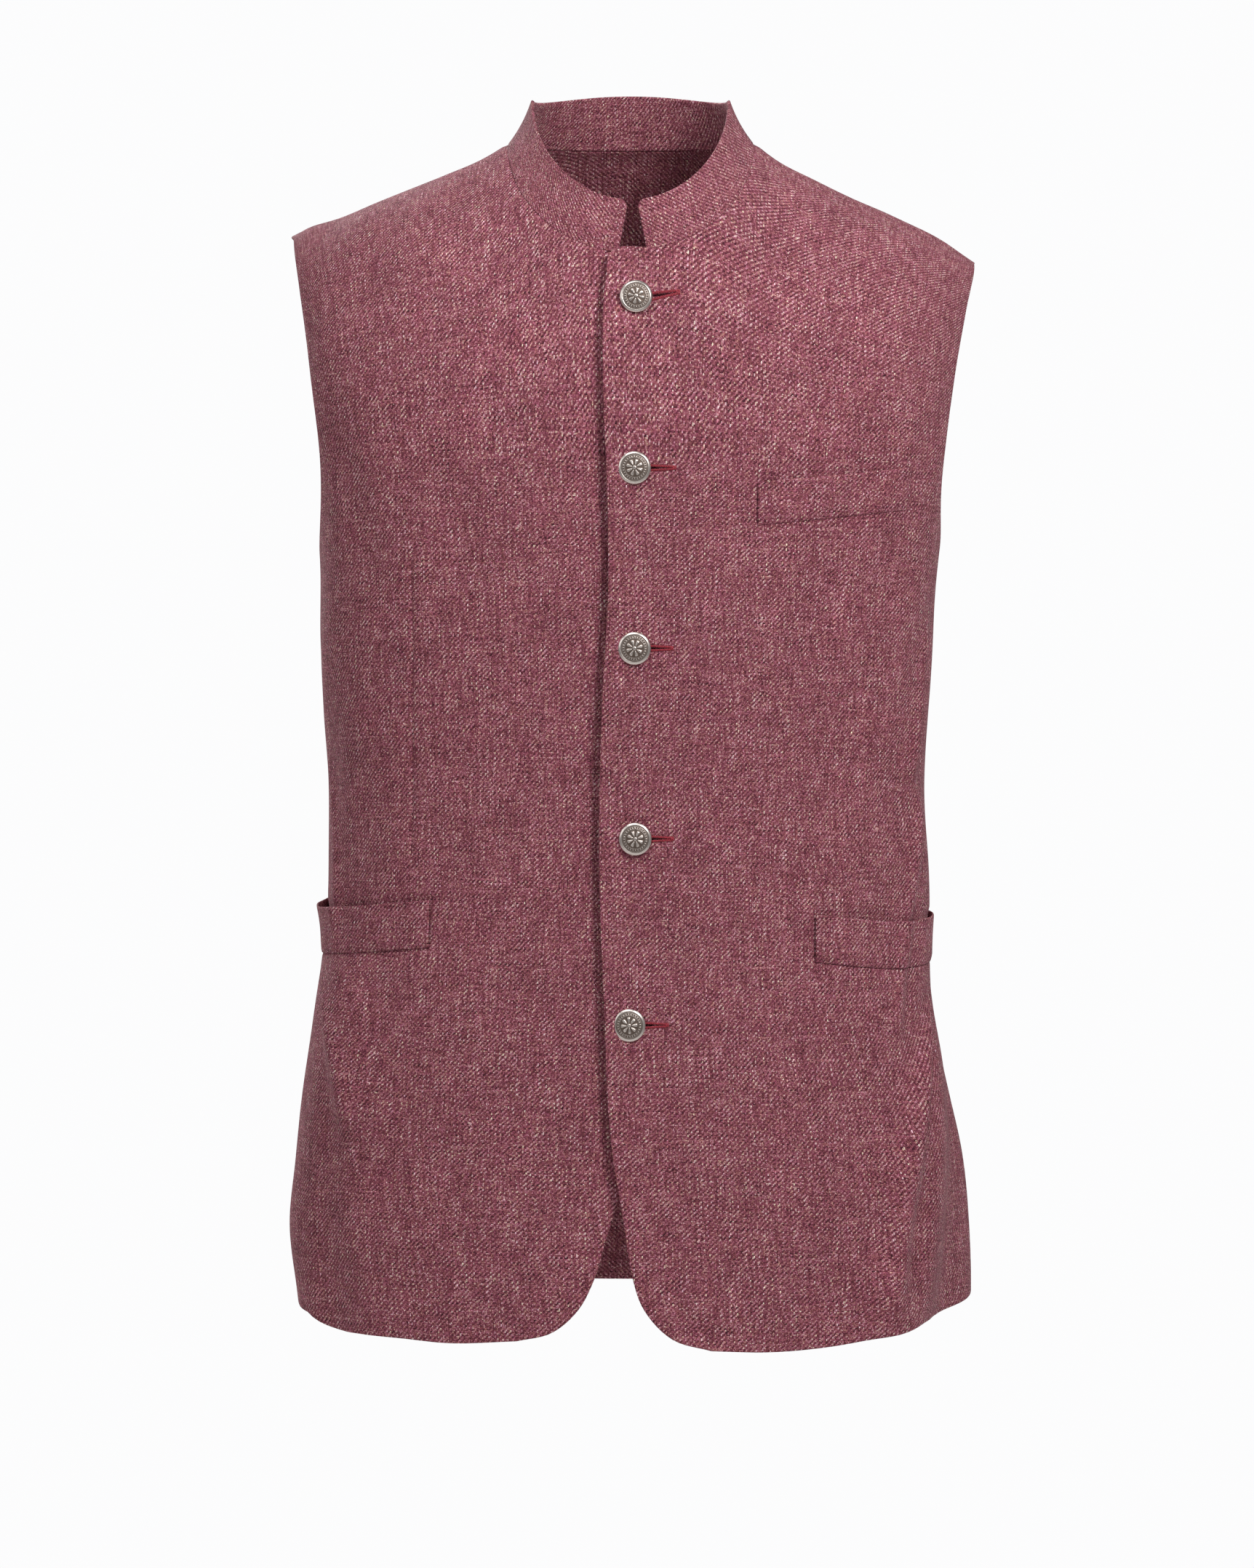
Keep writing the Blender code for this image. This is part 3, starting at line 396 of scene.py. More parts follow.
# Thread pitch of the twill, across and up, and how far the threads wander
THREAD_ACROSS = 0.000775
THREAD_UP = 0.00077
WANDER = 0.30
# Frequencies of that wander and of the slubs, across a thread and along it.
WANDER_WIDE = 0.11
WANDER_LONG = 0.05
SLUB_WIDE = 0.21
SLUB_LONG = 0.012

# Camera and light
Lamp = namedtuple("Lamp", "name place wide tall power")
LAMPS = rows(
    Lamp,
    ("key", (1.00, -1.35, 0.74), 0.6, 0.6, 24.0),
    ("top", (-0.35, -0.95, 1.5), 1.2, 0.8, 13.0),
    ("fill", (-2.3, -1.5, 0.9), 1.8, 1.8, 13.0),
    ("back", (-1.2, 2.1, 1.1), 0.9, 0.9, 40.0),
)
LAMP_AIM = (0.0, 0.0, -0.35)
WORLD_COLOUR = (1.0, 1.0, 1.0, 1.0)
WORLD_STRENGTH = 0.25
BACKDROP_COLOUR = (0.975, 0.975, 0.98, 1.0)
CAMERA_PLACE = (-0.0023, -2.6, -0.411)
IMAGE_HEIGHT_PX = 2156
METRES_PER_PX = 0.000466
SENSOR = 36.0
FLOOR_Z = -1.5
FLOOR_RADIUS = 2.9
FLOOR_STEPS = 96


def srgb(red, green, blue):
    """Linear colour from 8-bit display values."""
    shares = np.array([red, green, blue]) / 255
    linear = np.where(shares <= 0.04045, shares / 12.92, ((shares + 0.055) / 1.055) ** 2.4)
    return (*[float(c) for c in linear], 1.0)


YARN_STOPS = (
    (0.30, srgb(84, 40, 50)),
    (0.42, srgb(134, 70, 82)),
    (0.52, srgb(170, 102, 114)),
    (0.61, srgb(206, 156, 160)),
    (0.72, srgb(240, 222, 214)),
)
# Weft colours, darker than the warp's: partly the yarn's own colour, partly painted shade for the
# dark lines between the twill's cords.
WEFT_AND_CORD_SHADE_STOPS = (
    (0.30, srgb(54, 22, 32)),
    (0.43, srgb(100, 44, 56)),
    (0.56, srgb(138, 72, 86)),
    (0.66, srgb(178, 118, 126)),
    (0.78, srgb(226, 198, 192)),
)
TINT_STOPS = (
    (0.34, (1.00, 0.84, 1.02, 1.0)),
    (0.50, (1.00, 0.97, 0.98, 1.0)),
    (0.66, (1.00, 1.08, 0.86, 1.0)),
)
THREAD_STOPS = ((0.3, srgb(96, 6, 22)), (0.5, srgb(154, 18, 42)), (0.7, srgb(204, 50, 76)))
METAL_LIGHT = srgb(214, 204, 197)
METAL_DARK = srgb(112, 98, 90)


def smooth(table, column, at):
    """A smooth curve through one column of a table, by the table's first column."""
    ordered = sorted(table, key=lambda row: row[0])
    xs = np.array([row[0] for row in ordered])
    ys = np.array([getattr(row, column) for row in ordered])
    slopes = np.gradient(ys, xs)
    at = np.clip(at, xs[0], xs[-1])
    i = np.clip(np.searchsorted(xs, at) - 1, 0, len(xs) - 2)
    width = xs[i + 1] - xs[i]
    t = (at - xs[i]) / width
    return (
        (1 + 2 * t) * (1 - t) ** 2 * ys[i]
        + t * (1 - t) ** 2 * width * slopes[i]
        + t * t * (3 - 2 * t) * ys[i + 1]
        + t * t * (t - 1) * width * slopes[i + 1]
    )


def ease(t):
    """0 to 1, level at both ends."""
    t = np.clip(t, 0.0, 1.0)
    return t * t * (3 - 2 * t)


def by_side(side, left, right):
    return np.where(side > 0, left, right)


def shoulder_tip(side):
    """Distance from the centre and height of a shoulder's tip."""
    x, column = (TIP_LEFT, "left") if side > 0 else (TIP_RIGHT, "right")
    return x, float(smooth(SHOULDER_LINE, column, x))


def round_square(turn, power):
    """Point of a unit superellipse: across and ahead, by the angle from straight ahead."""
    across, ahead = np.sin(turn), np.cos(turn)
    size = (np.abs(across) ** power + np.abs(ahead) ** power) ** (-1 / power)
    return across * size, ahead * size


def ridge(side, across):
    """Height of the shoulder line at a share of the half width."""
    left = smooth(SHOULDER_LINE, "left", across * SECTIONS[-1].left)
    right = smooth(SHOULDER_LINE, "right", across * SECTIONS[-1].right)
    return by_side(side, left, right)


def skin(side, turn, rise, out):
    """Points of the surface: side is 1 to the wearer's left and -1 to the right, turn
    is the angle from centre front to centre back, rise is the height above the chest
    line, along the skin, and out is how far outside it the point lies."""
    side, turn, rise, out = np.broadcast_arrays(side, turn, rise, out)
    low = np.minimum(rise, 0.0)
    crown = np.clip(rise / CROWN, 0.0, 1.0) * math.pi / 2
    is_front = turn <= math.pi / 2
    z_low = CHEST_Z + low
    power = np.where(
        is_front,
        smooth(SECTIONS, "square_front", z_low),
        smooth(SECTIONS, "square_back", z_low),
    )
    across, ahead = round_square(turn, power)
    z = z_low + (ridge(side, across) + out - CHEST_Z) * np.sin(crown)
    half = by_side(side, smooth(SECTIONS, "left", z), smooth(SECTIONS, "right", z))
    depth = np.where(is_front, smooth(SECTIONS, "front", z_low), smooth(SECTIONS, "back", z_low))
    closing = np.maximum(np.cos(crown), 0.0)
    near_neck = 1 - ease(across / NECK_BLEND)
    front_lean = near_neck * closing**NECK_POWER + (1 - near_neck) * closing**SHOULDER_POWER
    lean = np.where(is_front, front_lean, closing**BACK_POWER)
    x = side * across * (half + out)
    y = -ahead * (depth + out) * lean
    return np.stack([x, y, z], axis=-1)


def rise_at(side, turn, z):
    """The rise that gives a height."""
    power = np.where(turn <= math.pi / 2, SECTIONS[-1].square_front, SECTIONS[-1].square_back)
    across, _ = round_square(turn, power)
    share = np.clip((z - CHEST_Z) / (ridge(side, across) - CHEST_Z), 0.0, 1.0)
    return np.where(z > CHEST_Z, np.arcsin(share) / (math.pi / 2) * CROWN, z - CHEST_Z)


def run_along(points):
    """Length along a line, from its start, at each of its points."""
    steps = np.linalg.norm(np.diff(points, axis=0), axis=1)
    return np.concatenate([[0.0], np.cumsum(steps)])


# Pattern coordinates: along is the length round the chest from centre front.
TURNS = np.linspace(0.0, math.pi, 721)
CHEST_RING = skin(1, TURNS, 0.0, 0.0)
ALONG = run_along(CHEST_RING)
HALF_GIRTH = ALONG[-1]


def locate(side, z, value, axis, is_back=False):
    """Pattern coordinates, along from centre front and rise, of the point of the skin
    at a height whose x or y is given."""
    half = len(TURNS) // 2
    turns = TURNS[half:] if is_back else TURNS[: half + 1]
    found = skin(side, turns, rise_at(side, turns, z), 0.0)[:, axis]
    order = np.argsort(found)
    turn = np.interp(value, found[order], turns[order])
    return float(np.interp(turn, TURNS, ALONG)), float(rise_at(side, turn, z))


def flat_at(side, z, value, axis, is_back=False):
    """Flat coordinates of that point: along is positive to the wearer's left."""
    along, rise = locate(side, z, value, axis, is_back)
    return side * along, rise


def fold_height(folds, along, rise):
    """How far the soft folds lift or sink the cloth at flat points."""
    z = CHEST_Z + rise
    total = np.zeros_like(along)
    for fold in folds:
        down = np.clip((fold.z_top - z) / (fold.z_top - fold.z_low), 0.0, 1.0)
        crest = fold.at_low + (fold.at_top - fold.at_low) * (1 - down) ** fold.bend
        span = (along - crest) / fold.wide
        grown = ease((fold.z_top - z) / fold.grow) * ease((z - fold.z_low) / fold.grow)
        total += fold.high * np.exp(-span * span) * grown
    return total * (1 - ease((np.abs(along) - FOLDS_END) / FOLDS_SIDE))


def lap_lift(along):
    """How far the over front lies outside the skin."""
    away = (np.abs(along) - LAP_FLAT) / (LAP_END - LAP_FLAT)
    return (WALL + LAP_GAP) * (1 - ease(away))


def front_skin(flat, out, is_over):
    """Places of flat points of a front, along positive to the wearer's left."""
    side = np.where(flat[:, 0] >= 0, 1, -1)
    turn = np.interp(np.abs(flat[:, 0]), ALONG, TURNS)
    lift = fold_height(FRONT_FOLDS, flat[:, 0], flat[:, 1])
    if is_over:
        lift = lift + lap_lift(flat[:, 0])
    return skin(side, turn, flat[:, 1], lift + out)


def back_skin(flat, out):
    """Places of flat points of the back, along from centre back to the wearer's right."""
    side = np.where(flat[:, 0] > 0, -1, 1)
    turn = np.interp(HALF_GIRTH - np.abs(flat[:, 0]), ALONG, TURNS)
    lift = fold_height(BACK_FOLDS, flat[:, 0], flat[:, 1])
    return skin(side, turn, flat[:, 1], lift + out)


# Outlines


def curve_through(edge, step):
    """Points a step apart on a smooth curve through the rows of an edge."""
    points = np.array(edge)
    knots = run_along(points)
    Knot = namedtuple("Knot", "at x z")
    table = [Knot(k, p[0], p[1]) for k, p in zip(knots, points)]
    at = np.linspace(0.0, knots[-1], max(2, round(knots[-1] / step) + 1))
    return np.stack([smooth(table, "x", at), smooth(table, "z", at)], axis=-1)


def on_front(points):
    """Flat coordinates of front points given by x and z."""
    return [flat_at(1 if x >= 0 else -1, z, x, 0) for x, z in points]


def shoulder_edge(side, x_start, x_end, is_back):
    """Flat coordinates of the shoulder seam between two distances from the centre."""
    steps = max(2, round(abs(x_end - x_start) / EDGE_STEP) + 1)
    made = []
    for x in np.linspace(x_start, x_end, steps):
        across = x / float(by_side(side, SECTIONS[-1].left, SECTIONS[-1].right))
        power = SECTIONS[-1].square_back if is_back else SECTIONS[-1].square_front
        ahead = (1 - across**power) ** (1 / power)
        turn = math.atan2(across, -ahead if is_back else ahead)
        made.append((side * float(np.interp(turn, TURNS, ALONG)), CROWN))
    return made


def armhole_height(side, turn):
    """Height of an armhole at an angle, in radians, from the shoulder tip."""
    _, tip_z = shoulder_tip(side)
    return (tip_z + UNDERARM_Z) / 2 + (tip_z - UNDERARM_Z) / 2 * math.cos(turn)


def armhole_edge(side, start, end):
    """Flat coordinates of an armhole, by the angle from the shoulder tip round the
    front: 180 degrees is the underarm."""
    tip_x, _ = shoulder_tip(side)
    made = []
    for angle in np.linspace(start, end, round(abs(end - start) / 180 * ARMHOLE_STEPS / 2) + 1):
        turn = math.radians(angle)
        y = -ARMHOLE_REACH * math.sin(turn) * (1 - ARMHOLE_SKEW * math.cos(turn))
        z = armhole_height(side, turn)
        along, rise = locate(side, z, y, 1, is_back=y > 0)
        tip_along = abs(shoulder_edge(side, tip_x, tip_x, y > 0)[0][0])
        beyond = along < tip_along if y > 0 else along > tip_along
        if z > CHEST_Z and beyond:
            along = tip_along
            rise = float(rise_at(side, np.interp(along, ALONG, TURNS), z))
        made.append((side * along, rise))
    return made


def underarm_angle():
    """The armhole angle at which the side seam meets it."""
    angles = np.radians(np.linspace(*UNDERARM_SEARCH))
    y = -ARMHOLE_REACH * np.sin(angles) * (1 - ARMHOLE_SKEW * np.cos(angles))
    return float(np.degrees(np.interp(SIDE_SEAM_Y, y, angles)))


def side_edge(side):
    """Flat coordinates of a side seam, from the hem up to the underarm."""
    low, high = HEM_SIDE[side], armhole_height(side, math.radians(underarm_angle()))
    heights = np.linspace(low, high, round((high - low) / EDGE_STEP) + 1)
    return [flat_at(side, z, SIDE_SEAM_Y, 1, is_back=True) for z in heights]


def neck_angles():
    return np.radians(np.linspace(0.0, 90.0, NECK_STEPS + 1))


def neck_height(x):
    """Height of the front neckline at a distance from the centre."""
    return NECK_FRONT_Z * math.sqrt(1 - (x / NECK_HALF) ** 2)


def neck_front(side, x_start):
    """Flat coordinates of the front neckline from a distance from the centre to the
    high shoulder point."""
    first = math.asin(min(1.0, x_start / NECK_HALF))
    angles = [first] + [a for a in neck_angles() if a > first + NECK_CLEAR]
    made = [
        flat_at(side, NECK_FRONT_Z * math.cos(a), side * NECK_HALF * math.sin(a), 0)
        for a in angles[:-1]
    ]
    return made + shoulder_edge(side, NECK_HALF, NECK_HALF, False)[:1]


def neck_back(side):
    """Flat coordinates of the back neckline from the centre to the shoulder point."""
    made = [
        flat_at(side, NECK_BACK_Z * math.cos(a), side * NECK_HALF * math.sin(a), 0, is_back=True)
        for a in neck_angles()[:-1]
    ]
    return made + shoulder_edge(side, NECK_HALF, NECK_HALF, True)[:1]


def joined(*edges):
    """One outline from edges that follow each other."""
    points = []
    for edge in edges:
        for point in edge:
            if not points or math.dist(points[-1], point) > SAME_POINT:
                points.append(tuple(point))
    if math.dist(points[0], points[-1]) < SAME_POINT:
        points.pop()
    return np.array(points)


def drawn_in(outline, by):
    """An outline moved inwards by a small distance."""
    following = np.roll(outline, -1, axis=0)
    area = np.sum(outline[:, 0] * following[:, 1] - following[:, 0] * outline[:, 1])
    along = following - outline
    normal = np.stack([-along[:, 1], along[:, 0]], axis=-1) * (1 if area > 0 else -1)
    normal /= np.linalg.norm(normal, axis=1)[:, None]
    mean = normal + np.roll(normal, 1, axis=0)
    mean /= np.maximum(np.sum(mean * normal, axis=1), 0.5)[:, None]
    return outline + mean * by


def is_inside(points, polygon):
    """Which points lie inside a polygon."""
    inside = np.zeros(len(points), dtype=bool)
    following = np.roll(polygon, -1, axis=0)
    for (ax, ay), (bx, by) in zip(polygon, following):
        crosses = (ay > points[:, 1]) != (by > points[:, 1])
        if ay != by:
            at = ax + (points[:, 1] - ay) / (by - ay) * (bx - ax)
            inside ^= crosses & (points[:, 0] < at)
    return inside


def rim_edges(faces):
    """Edges that only one face has, in that face's direction."""
    once = {}
    for face in faces:
        for i, a in enumerate(face):
            b = face[(i + 1) % len(face)]
            if (b, a) in once:
                del once[(b, a)]
            else:
                once[(a, b)] = True
    return list(once)


def slit_half(t):
    """Half the slit's opening at a distance from its end under the button."""
    share = np.clip(t / (HOLE_AFTER + HOLE_BEFORE), 0.0, 1.0)
    return SLIT_HALF * (1 - (1 - SLIT_CLOSED) * share**SLIT_POWER)


def slit_frame(button, tilt):
    """Flat start of a buttonhole, its directions ahead and aside, and its length."""
    start = np.array(on_front([(button.x - HOLE_BEFORE, button.z)])[0])
    ahead = np.array([math.cos(tilt), math.sin(tilt)])
    aside = np.array([-ahead[1], ahead[0]])
    return start, ahead, aside, HOLE_AFTER + HOLE_BEFORE


def slit(button, tilt):
    """The buttonhole's outline, in flat coordinates."""
    start, ahead, aside, length = slit_frame(button, tilt)
    near, far = slit_half(0.0), slit_half(length)
    ends = ((0.0, -near), (length / 2, -slit_half(length / 2)), (length, -far))
    ends += ((length, far), (length / 2, slit_half(length / 2)), (0.0, near))
    return np.array([start + ahead * t + aside * s for t, s in ends])


def welt_edges(welt):
    """A welt's top and low edges from its inner end, in flat coordinates."""
    side = 1 if welt.inner_x > 0 else -1
    corners = []
    for drop in (0.0, welt.tall):
        inner = on_front([(welt.inner_x, welt.top_inner - drop)])[0]
        if welt.outer_x is None:
            z, y = welt.top_outer - drop, welt.outer_y
            outer = flat_at(side, z, y, 1, is_back=y > 0)
        else:
            outer = on_front([(welt.outer_x, welt.top_outer - drop)])[0]
        corners.append((np.array(inner), np.array(outer)))
    (top_in, top_out), (low_in, low_out) = corners
    steps = max(2, round(abs(top_out[0] - top_in[0]) / EDGE_STEP) + 1)
    shares = np.linspace(0, 1, steps)[:, None]
    bow = np.stack([np.zeros(steps), smooth(BOWS[welt.name], "up", shares[:, 0])], axis=-1)
    return top_in + (top_out - top_in) * shares + bow, low_in + (low_out - low_in) * shares + bow


def welt_outline(top, low):
    outline = joined(top, between(top[-1], low[-1]), low[::-1], between(low[0], top[0]))
    return outline[::-1] if top[0, 0] > 0 else outline


def between(start, end):
    """Flat points on the straight line between two corners."""
    steps = max(1, round(math.dist(start, end) / EDGE_STEP))
    return [tuple(np.array(start) + np.subtract(end, start) * k / steps) for k in range(1, steps)]


def welt_share(flat, top, low):
    """Shares of a welt's length, outwards, and of its height, of flat points."""
    along = np.abs(flat[:, 0])
    edges = [np.interp(along, np.abs(edge[:, 0]), edge[:, 1]) for edge in (low, top)]
    inner, outer = (np.abs(low[k, 0] + top[k, 0]) / 2 for k in (0, -1))
    return (along - inner) / (outer - inner), (flat[:, 1] - edges[0]) / (edges[1] - edges[0])


def gape(welt, outwards, upwards):
    """How far a welt's mouth stands off the front."""
    opening = ease((outwards - GAPE_START) / (GAPE_PEAK - GAPE_START))
    closing = ease((1 - outwards) / (1 - GAPE_PEAK))
    return welt.gape * opening * closing * np.clip(upwards, 0.0, 1.0) ** GAPE_POWER


def sewn_down(welt, outwards, upwards):
    """How far a welt sinks towards its sewn low edge and outer end."""
    inside = np.minimum(upwards * welt.tall, (1 - outwards) * WELT_LENGTHS[welt.name])
    return WELT_SUNK * (1 - ease(inside / WELT_RISE))


def neck_seam(side, turn):
    """The point of the neckline at an angle from centre front."""
    x = NECK_HALF * math.sin(turn)
    if turn <= math.pi / 2:
        flat = flat_at(side, NECK_FRONT_Z * math.cos(turn), side * x, 0)
        return front_skin(np.array([flat]), 0.0, side > 0)[0]
    along, rise = locate(side, -NECK_BACK_Z * math.cos(turn), side * x, 0, is_back=True)
    return back_skin(np.array([(-side * (HALF_GIRTH - along), rise)]), 0.0)[0]


def collar_top(side, turn):
    """The point of the collar's top edge at an angle from centre front."""
    ahead = math.cos(turn)
    if ahead > 0:
        depth, end_z, fall = -COLLAR_TOP_FRONT_Y, COLLAR_TOP_FRONT_Z, COLLAR_FRONT_FALL
    else:
        depth, end_z, fall = COLLAR_TOP_BACK_Y, COLLAR_TOP_BACK_Z, COLLAR_BACK_FALL
    x = side * COLLAR_TOP_HALF * math.sin(turn)
    z = COLLAR_TOP_SIDE_Z + (end_z - COLLAR_TOP_SIDE_Z) * abs(ahead) ** fall
    return np.array([x, -depth * ahead, z])


# Flat pieces to shells


def new_mesh(name, vertices, faces, finish):
    mesh = bpy.data.meshes.new(name)
    mesh.from_pydata(vertices, [], faces)
    mesh.materials.append(finish)
    mesh.shade_smooth()
    return mesh


def new_piece(name, mesh):
    piece = bpy.data.objects.new(name, mesh)
    bpy.context.scene.collection.objects.link(piece)
    return piece


def tree_of(points):
    """A search tree of flat points."""
    tree = KDTree(len(points))
    for i, point in enumerate(points):
        tree.insert((*point, 0.0), i)
    tree.balance()
    return tree


def net(outline, holes=(), lines=()):
    """Small triangles that fill an outline, closer at its edges. Gives flat points and triangles."""
    low, high = outline.min(axis=0), outline.max(axis=0)
    levels = []
    for i, rise in enumerate(np.arange(low[1], high[1], NET_STEP * math.sqrt(0.75))):
        along = np.arange(low[0] + (i % 2) * NET_STEP / 2, high[0], NET_STEP)
        levels.append(np.stack([along, np.full_like(along, rise)], axis=-1))
    grid = np.concatenate(levels)
    grid = grid[is_inside(grid, outline)]
    loops = [outline, *(drawn_in(outline, by) for by in EDGE_RINGS), *holes]
    tree = tree_of(np.concatenate([*loops, *lines]))
    clear = [tree.find((*point, 0.0))[2] > NET_STEP * NET_CLEAR for point in grid]
    grid = grid[np.array(clear)]
    points, edges = [], []
    for loop in loops:
        first = len(points)
        points += [Vector(p) for p in loop]
        edges += [(first + i, first + (i + 1) % len(loop)) for i in range(len(loop))]
    for line in lines:
        points += [Vector(p) for p in line]
    points += [Vector(p) for p in grid]
    flat, _, faces, *_ = delaunay_2d_cdt(points, edges, [], 1, 1e-7)
    flat = np.array([tuple(p) for p in flat])
    faces = np.array([tuple(face) for face in faces])
    middle = flat[faces].mean(axis=1)
    keep = is_inside(middle, outline)
    for hole in holes:
        keep &= ~is_inside(middle, hole)
    return flat, faces[keep]


def edge_distance(flat, outline):
    """Distance of flat points from an outline, exact near it."""
    tree = tree_of(outline)
    distance = np.empty(len(flat))
    count = len(outline)
    for k, point in enumerate(flat):
        _, i, far = tree.find((*point, 0.0))
        distance[k] = far
        if far < 3 * EDGE_STEP:
            for j in (i - 1, i):
                start, end = outline[j % count], outline[(j + 1) % count]
                run = end - start
                t = np.clip(np.dot(point - start, run) / np.dot(run, run), 0.0, 1.0)
                distance[k] = min(distance[k], np.linalg.norm(start + run * t - point))
    return distance


def half_thickness(distance, thickness):
    """Half the cloth's thickness, rounded off towards its edge."""
    share = np.clip(distance / EDGE_ROUND, 0.0, 1.0)
    return thickness / 2 * (EDGE_THIN + (1 - EDGE_THIN) * np.sqrt(1 - (1 - share) ** 2))


def shell(name, faces, outer, inner, flat, stands_for, finish):
    """A closed shell between outer and inner points, which carries its flat points for the weave."""
    faces = [tuple(int(i) for i in face) for face in faces]
    count = len(outer)
    sides = [(b, a, a + count, b + count) for a, b in rim_edges(faces)]
    inside = [tuple(i + count for i in reversed(face)) for face in faces]
    points = [tuple(p) for p in np.concatenate([outer, inner])]
    mesh = new_mesh(name, points, faces + inside + sides, finish)
    weave = mesh.attributes.new("weave", "FLOAT_VECTOR", "POINT")
    across = np.concatenate([flat, flat])
    weave.data.foreach_set("vector", np.column_stack([across, np.zeros(2 * count)]).ravel())
    used = bmesh.new()
    used.from_mesh(mesh)
    bmesh.ops.delete(used, geom=[v for v in used.verts if not v.link_faces], context="VERTS")
    used.to_mesh(mesh)
    used.free()
    piece = new_piece(name, mesh)
    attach(piece, "root")
    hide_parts(stands_for)
    first, second, third = (outer[[face[k] for face in faces]] for k in (0, 1, 2))
    area = np.linalg.norm(np.cross(second - first, third - first), axis=1).sum() / 2
    if len(faces[0]) == 4:
        area *= 2
    width, length = np.ptp(flat[:, 0]), max(np.ptp(flat[:, 1]), area / np.ptp(flat[:, 0]))


def lay(name, outline, place, thickness, base, stands_for, finish, holes=(), lines=()):
    """A shell of one flat piece. Its back lies at base outside the skin."""
    flat, faces = net(outline, holes, lines)
    half = half_thickness(edge_distance(flat, outline), thickness)
    middle = base + thickness / 2
    outer, inner = place(flat, middle + half), place(flat, middle - half)
    shell(name, faces, outer, inner, flat, stands_for, finish)


def dart_lines(dart):
    """Flat points on a dart and on both sides of it."""
    steps = round((dart.z_top - dart.z_low) / NET_STEP)
    zs = np.linspace(dart.z_top, dart.z_low, steps)
    xs = np.linspace(dart.x_top, dart.x_low, steps)
    middle = np.array(on_front(list(zip(xs, zs))))
    return [middle + (dart.wide * share, 0.0) for share in (-2, -1, 0, 1, 2)]


def dart_depth(flat):
    """How far the sewn dart draws the cloth in."""
    middle = dart_lines(DART_RIGHT)[2][::-1]
    at = np.interp(flat[:, 1], middle[:, 1], middle[:, 0])
    low, high = middle[0, 1], middle[-1, 1]
    ends = ease((flat[:, 1] - low) / DART_END) * ease((high - flat[:, 1]) / DART_END)
    return -DART_RIGHT.deep * np.exp(-(((flat[:, 0] - at) / DART_RIGHT.wide) ** 2)) * ends


def waviness(flat):
    total = np.zeros(len(flat))
    for wave in WAVES:
        turn = flat[:, 0] / wave.along + flat[:, 1] / wave.rise
        total += wave.high * np.sin(2 * math.pi * turn + wave.phase)
    return total


def lap_edge(flat):
    """How far flat points lie to the wearer's left of the lap's edge."""
    return flat[:, 0] - np.interp(flat[:, 1], LAP_LINE[:, 1], LAP_LINE[:, 0])


def lap_stand(flat):
    """How far the over front's edge stands off, beside the centre line."""
    return LAP_STAND * (1 - ease(lap_edge(flat) / LAP_STAND_WIDE))


def lap_shade(flat):
    """How far the under front sinks beside the lap's edge."""
    return -LAP_SHADE * (1 - ease(np.abs(lap_edge(flat)) / LAP_SHADE_WIDE))


def from_seams(side, along, rise):
    """Rough distance from the side seam and the shoulder seam, of points given round
    the skin from the centre front."""
    seam = SIDE_SEAMS[side]
    away = np.abs(along - np.interp(rise, seam[:, 1], np.abs(seam[:, 0])))
    above = np.maximum(rise - seam[-1, 1], 0.0)
    return np.minimum(np.hypot(away, above), CROWN - rise)


def from_neck(points, depth):
    """Rough distance of points from the neckline, whose lowest height is given."""
    across = np.abs(points[:, 0]) / NECK_HALF
    round_part = (np.hypot(across, np.minimum(points[:, 2], 0.0) / depth) - 1) * NECK_HALF
    seam = depth * np.sqrt(np.clip(1 - across * across, 0.0, 1.0))
    beside, below = np.maximum(across - 1, 0.0) * NECK_HALF, np.maximum(seam - points[:, 2], 0.0)
    flat_part = np.hypot(beside, below)
    return round_part if depth < 0 else flat_part


def calmed(fine, seams, neck):
    """Fine creases, faded out towards the seams, and the cloth drawn in at the seams."""
    fine = fine * ease(seams / SEAM_CALM) * ease(neck / NECK_CALM)
    return fine - SEAM_SUNK * (1 - ease(np.minimum(seams, neck) / SEAM_SUNK_WIDE))


def mouths(side, flat):
    """How far a front sinks under the mouths of its welts and beside their inner ends."""
    total = np.zeros(len(flat))
    for welt, (top, low) in WELTS.items():
        if (top[0, 0] > 0) != (side > 0):
            continue
        outwards, upwards = welt_share(flat, top, low)
        over = (upwards - 1) * welt.tall
        aside = -outwards * WELT_LENGTHS[welt.name]
        apart = np.hypot(np.maximum(over, 0.0), np.maximum(aside, 0.0))
        within = ease((1 - outwards) * MOUTH_END) * ease((upwards + MOUTH_BELOW) * MOUTH_UP)
        sunk = MOUTH_SUNK if welt.gape else MOUTH_SUNK * FLAT_MOUTH
        total -= sunk * (1 - ease(apart / MOUTH_WIDE)) * within
    return total


def front_place(side):
    """Where a front's flat points lie, with folds, creases and unevenness."""
    is_over = side > 0

    def place(flat, out):
        fine = fold_height(FRONT_CREASES, flat[:, 0], flat[:, 1]) + waviness(flat)
        seams = from_seams(side, np.abs(flat[:, 0]), flat[:, 1])
        fine = calmed(fine, seams, from_neck(front_skin(flat, 0.0, is_over), NECK_FRONT_Z))
        fine = fine + (lap_stand(flat) if is_over else dart_depth(flat) + lap_shade(flat))
        return front_skin(flat, out + fine, is_over)

    return place


def back_place(flat, out):
    fine = fold_height(BACK_CREASES, flat[:, 0], flat[:, 1]) + waviness(flat)
    along = HALF_GIRTH - np.abs(flat[:, 0])
    right, left = (from_seams(side, along, flat[:, 1]) for side in (-1, 1))
    seams = np.where(flat[:, 0] > 0, right, left)
    fine = calmed(fine, seams, from_neck(back_skin(flat, 0.0), NECK_BACK_Z))
    return back_skin(flat, out + fine)


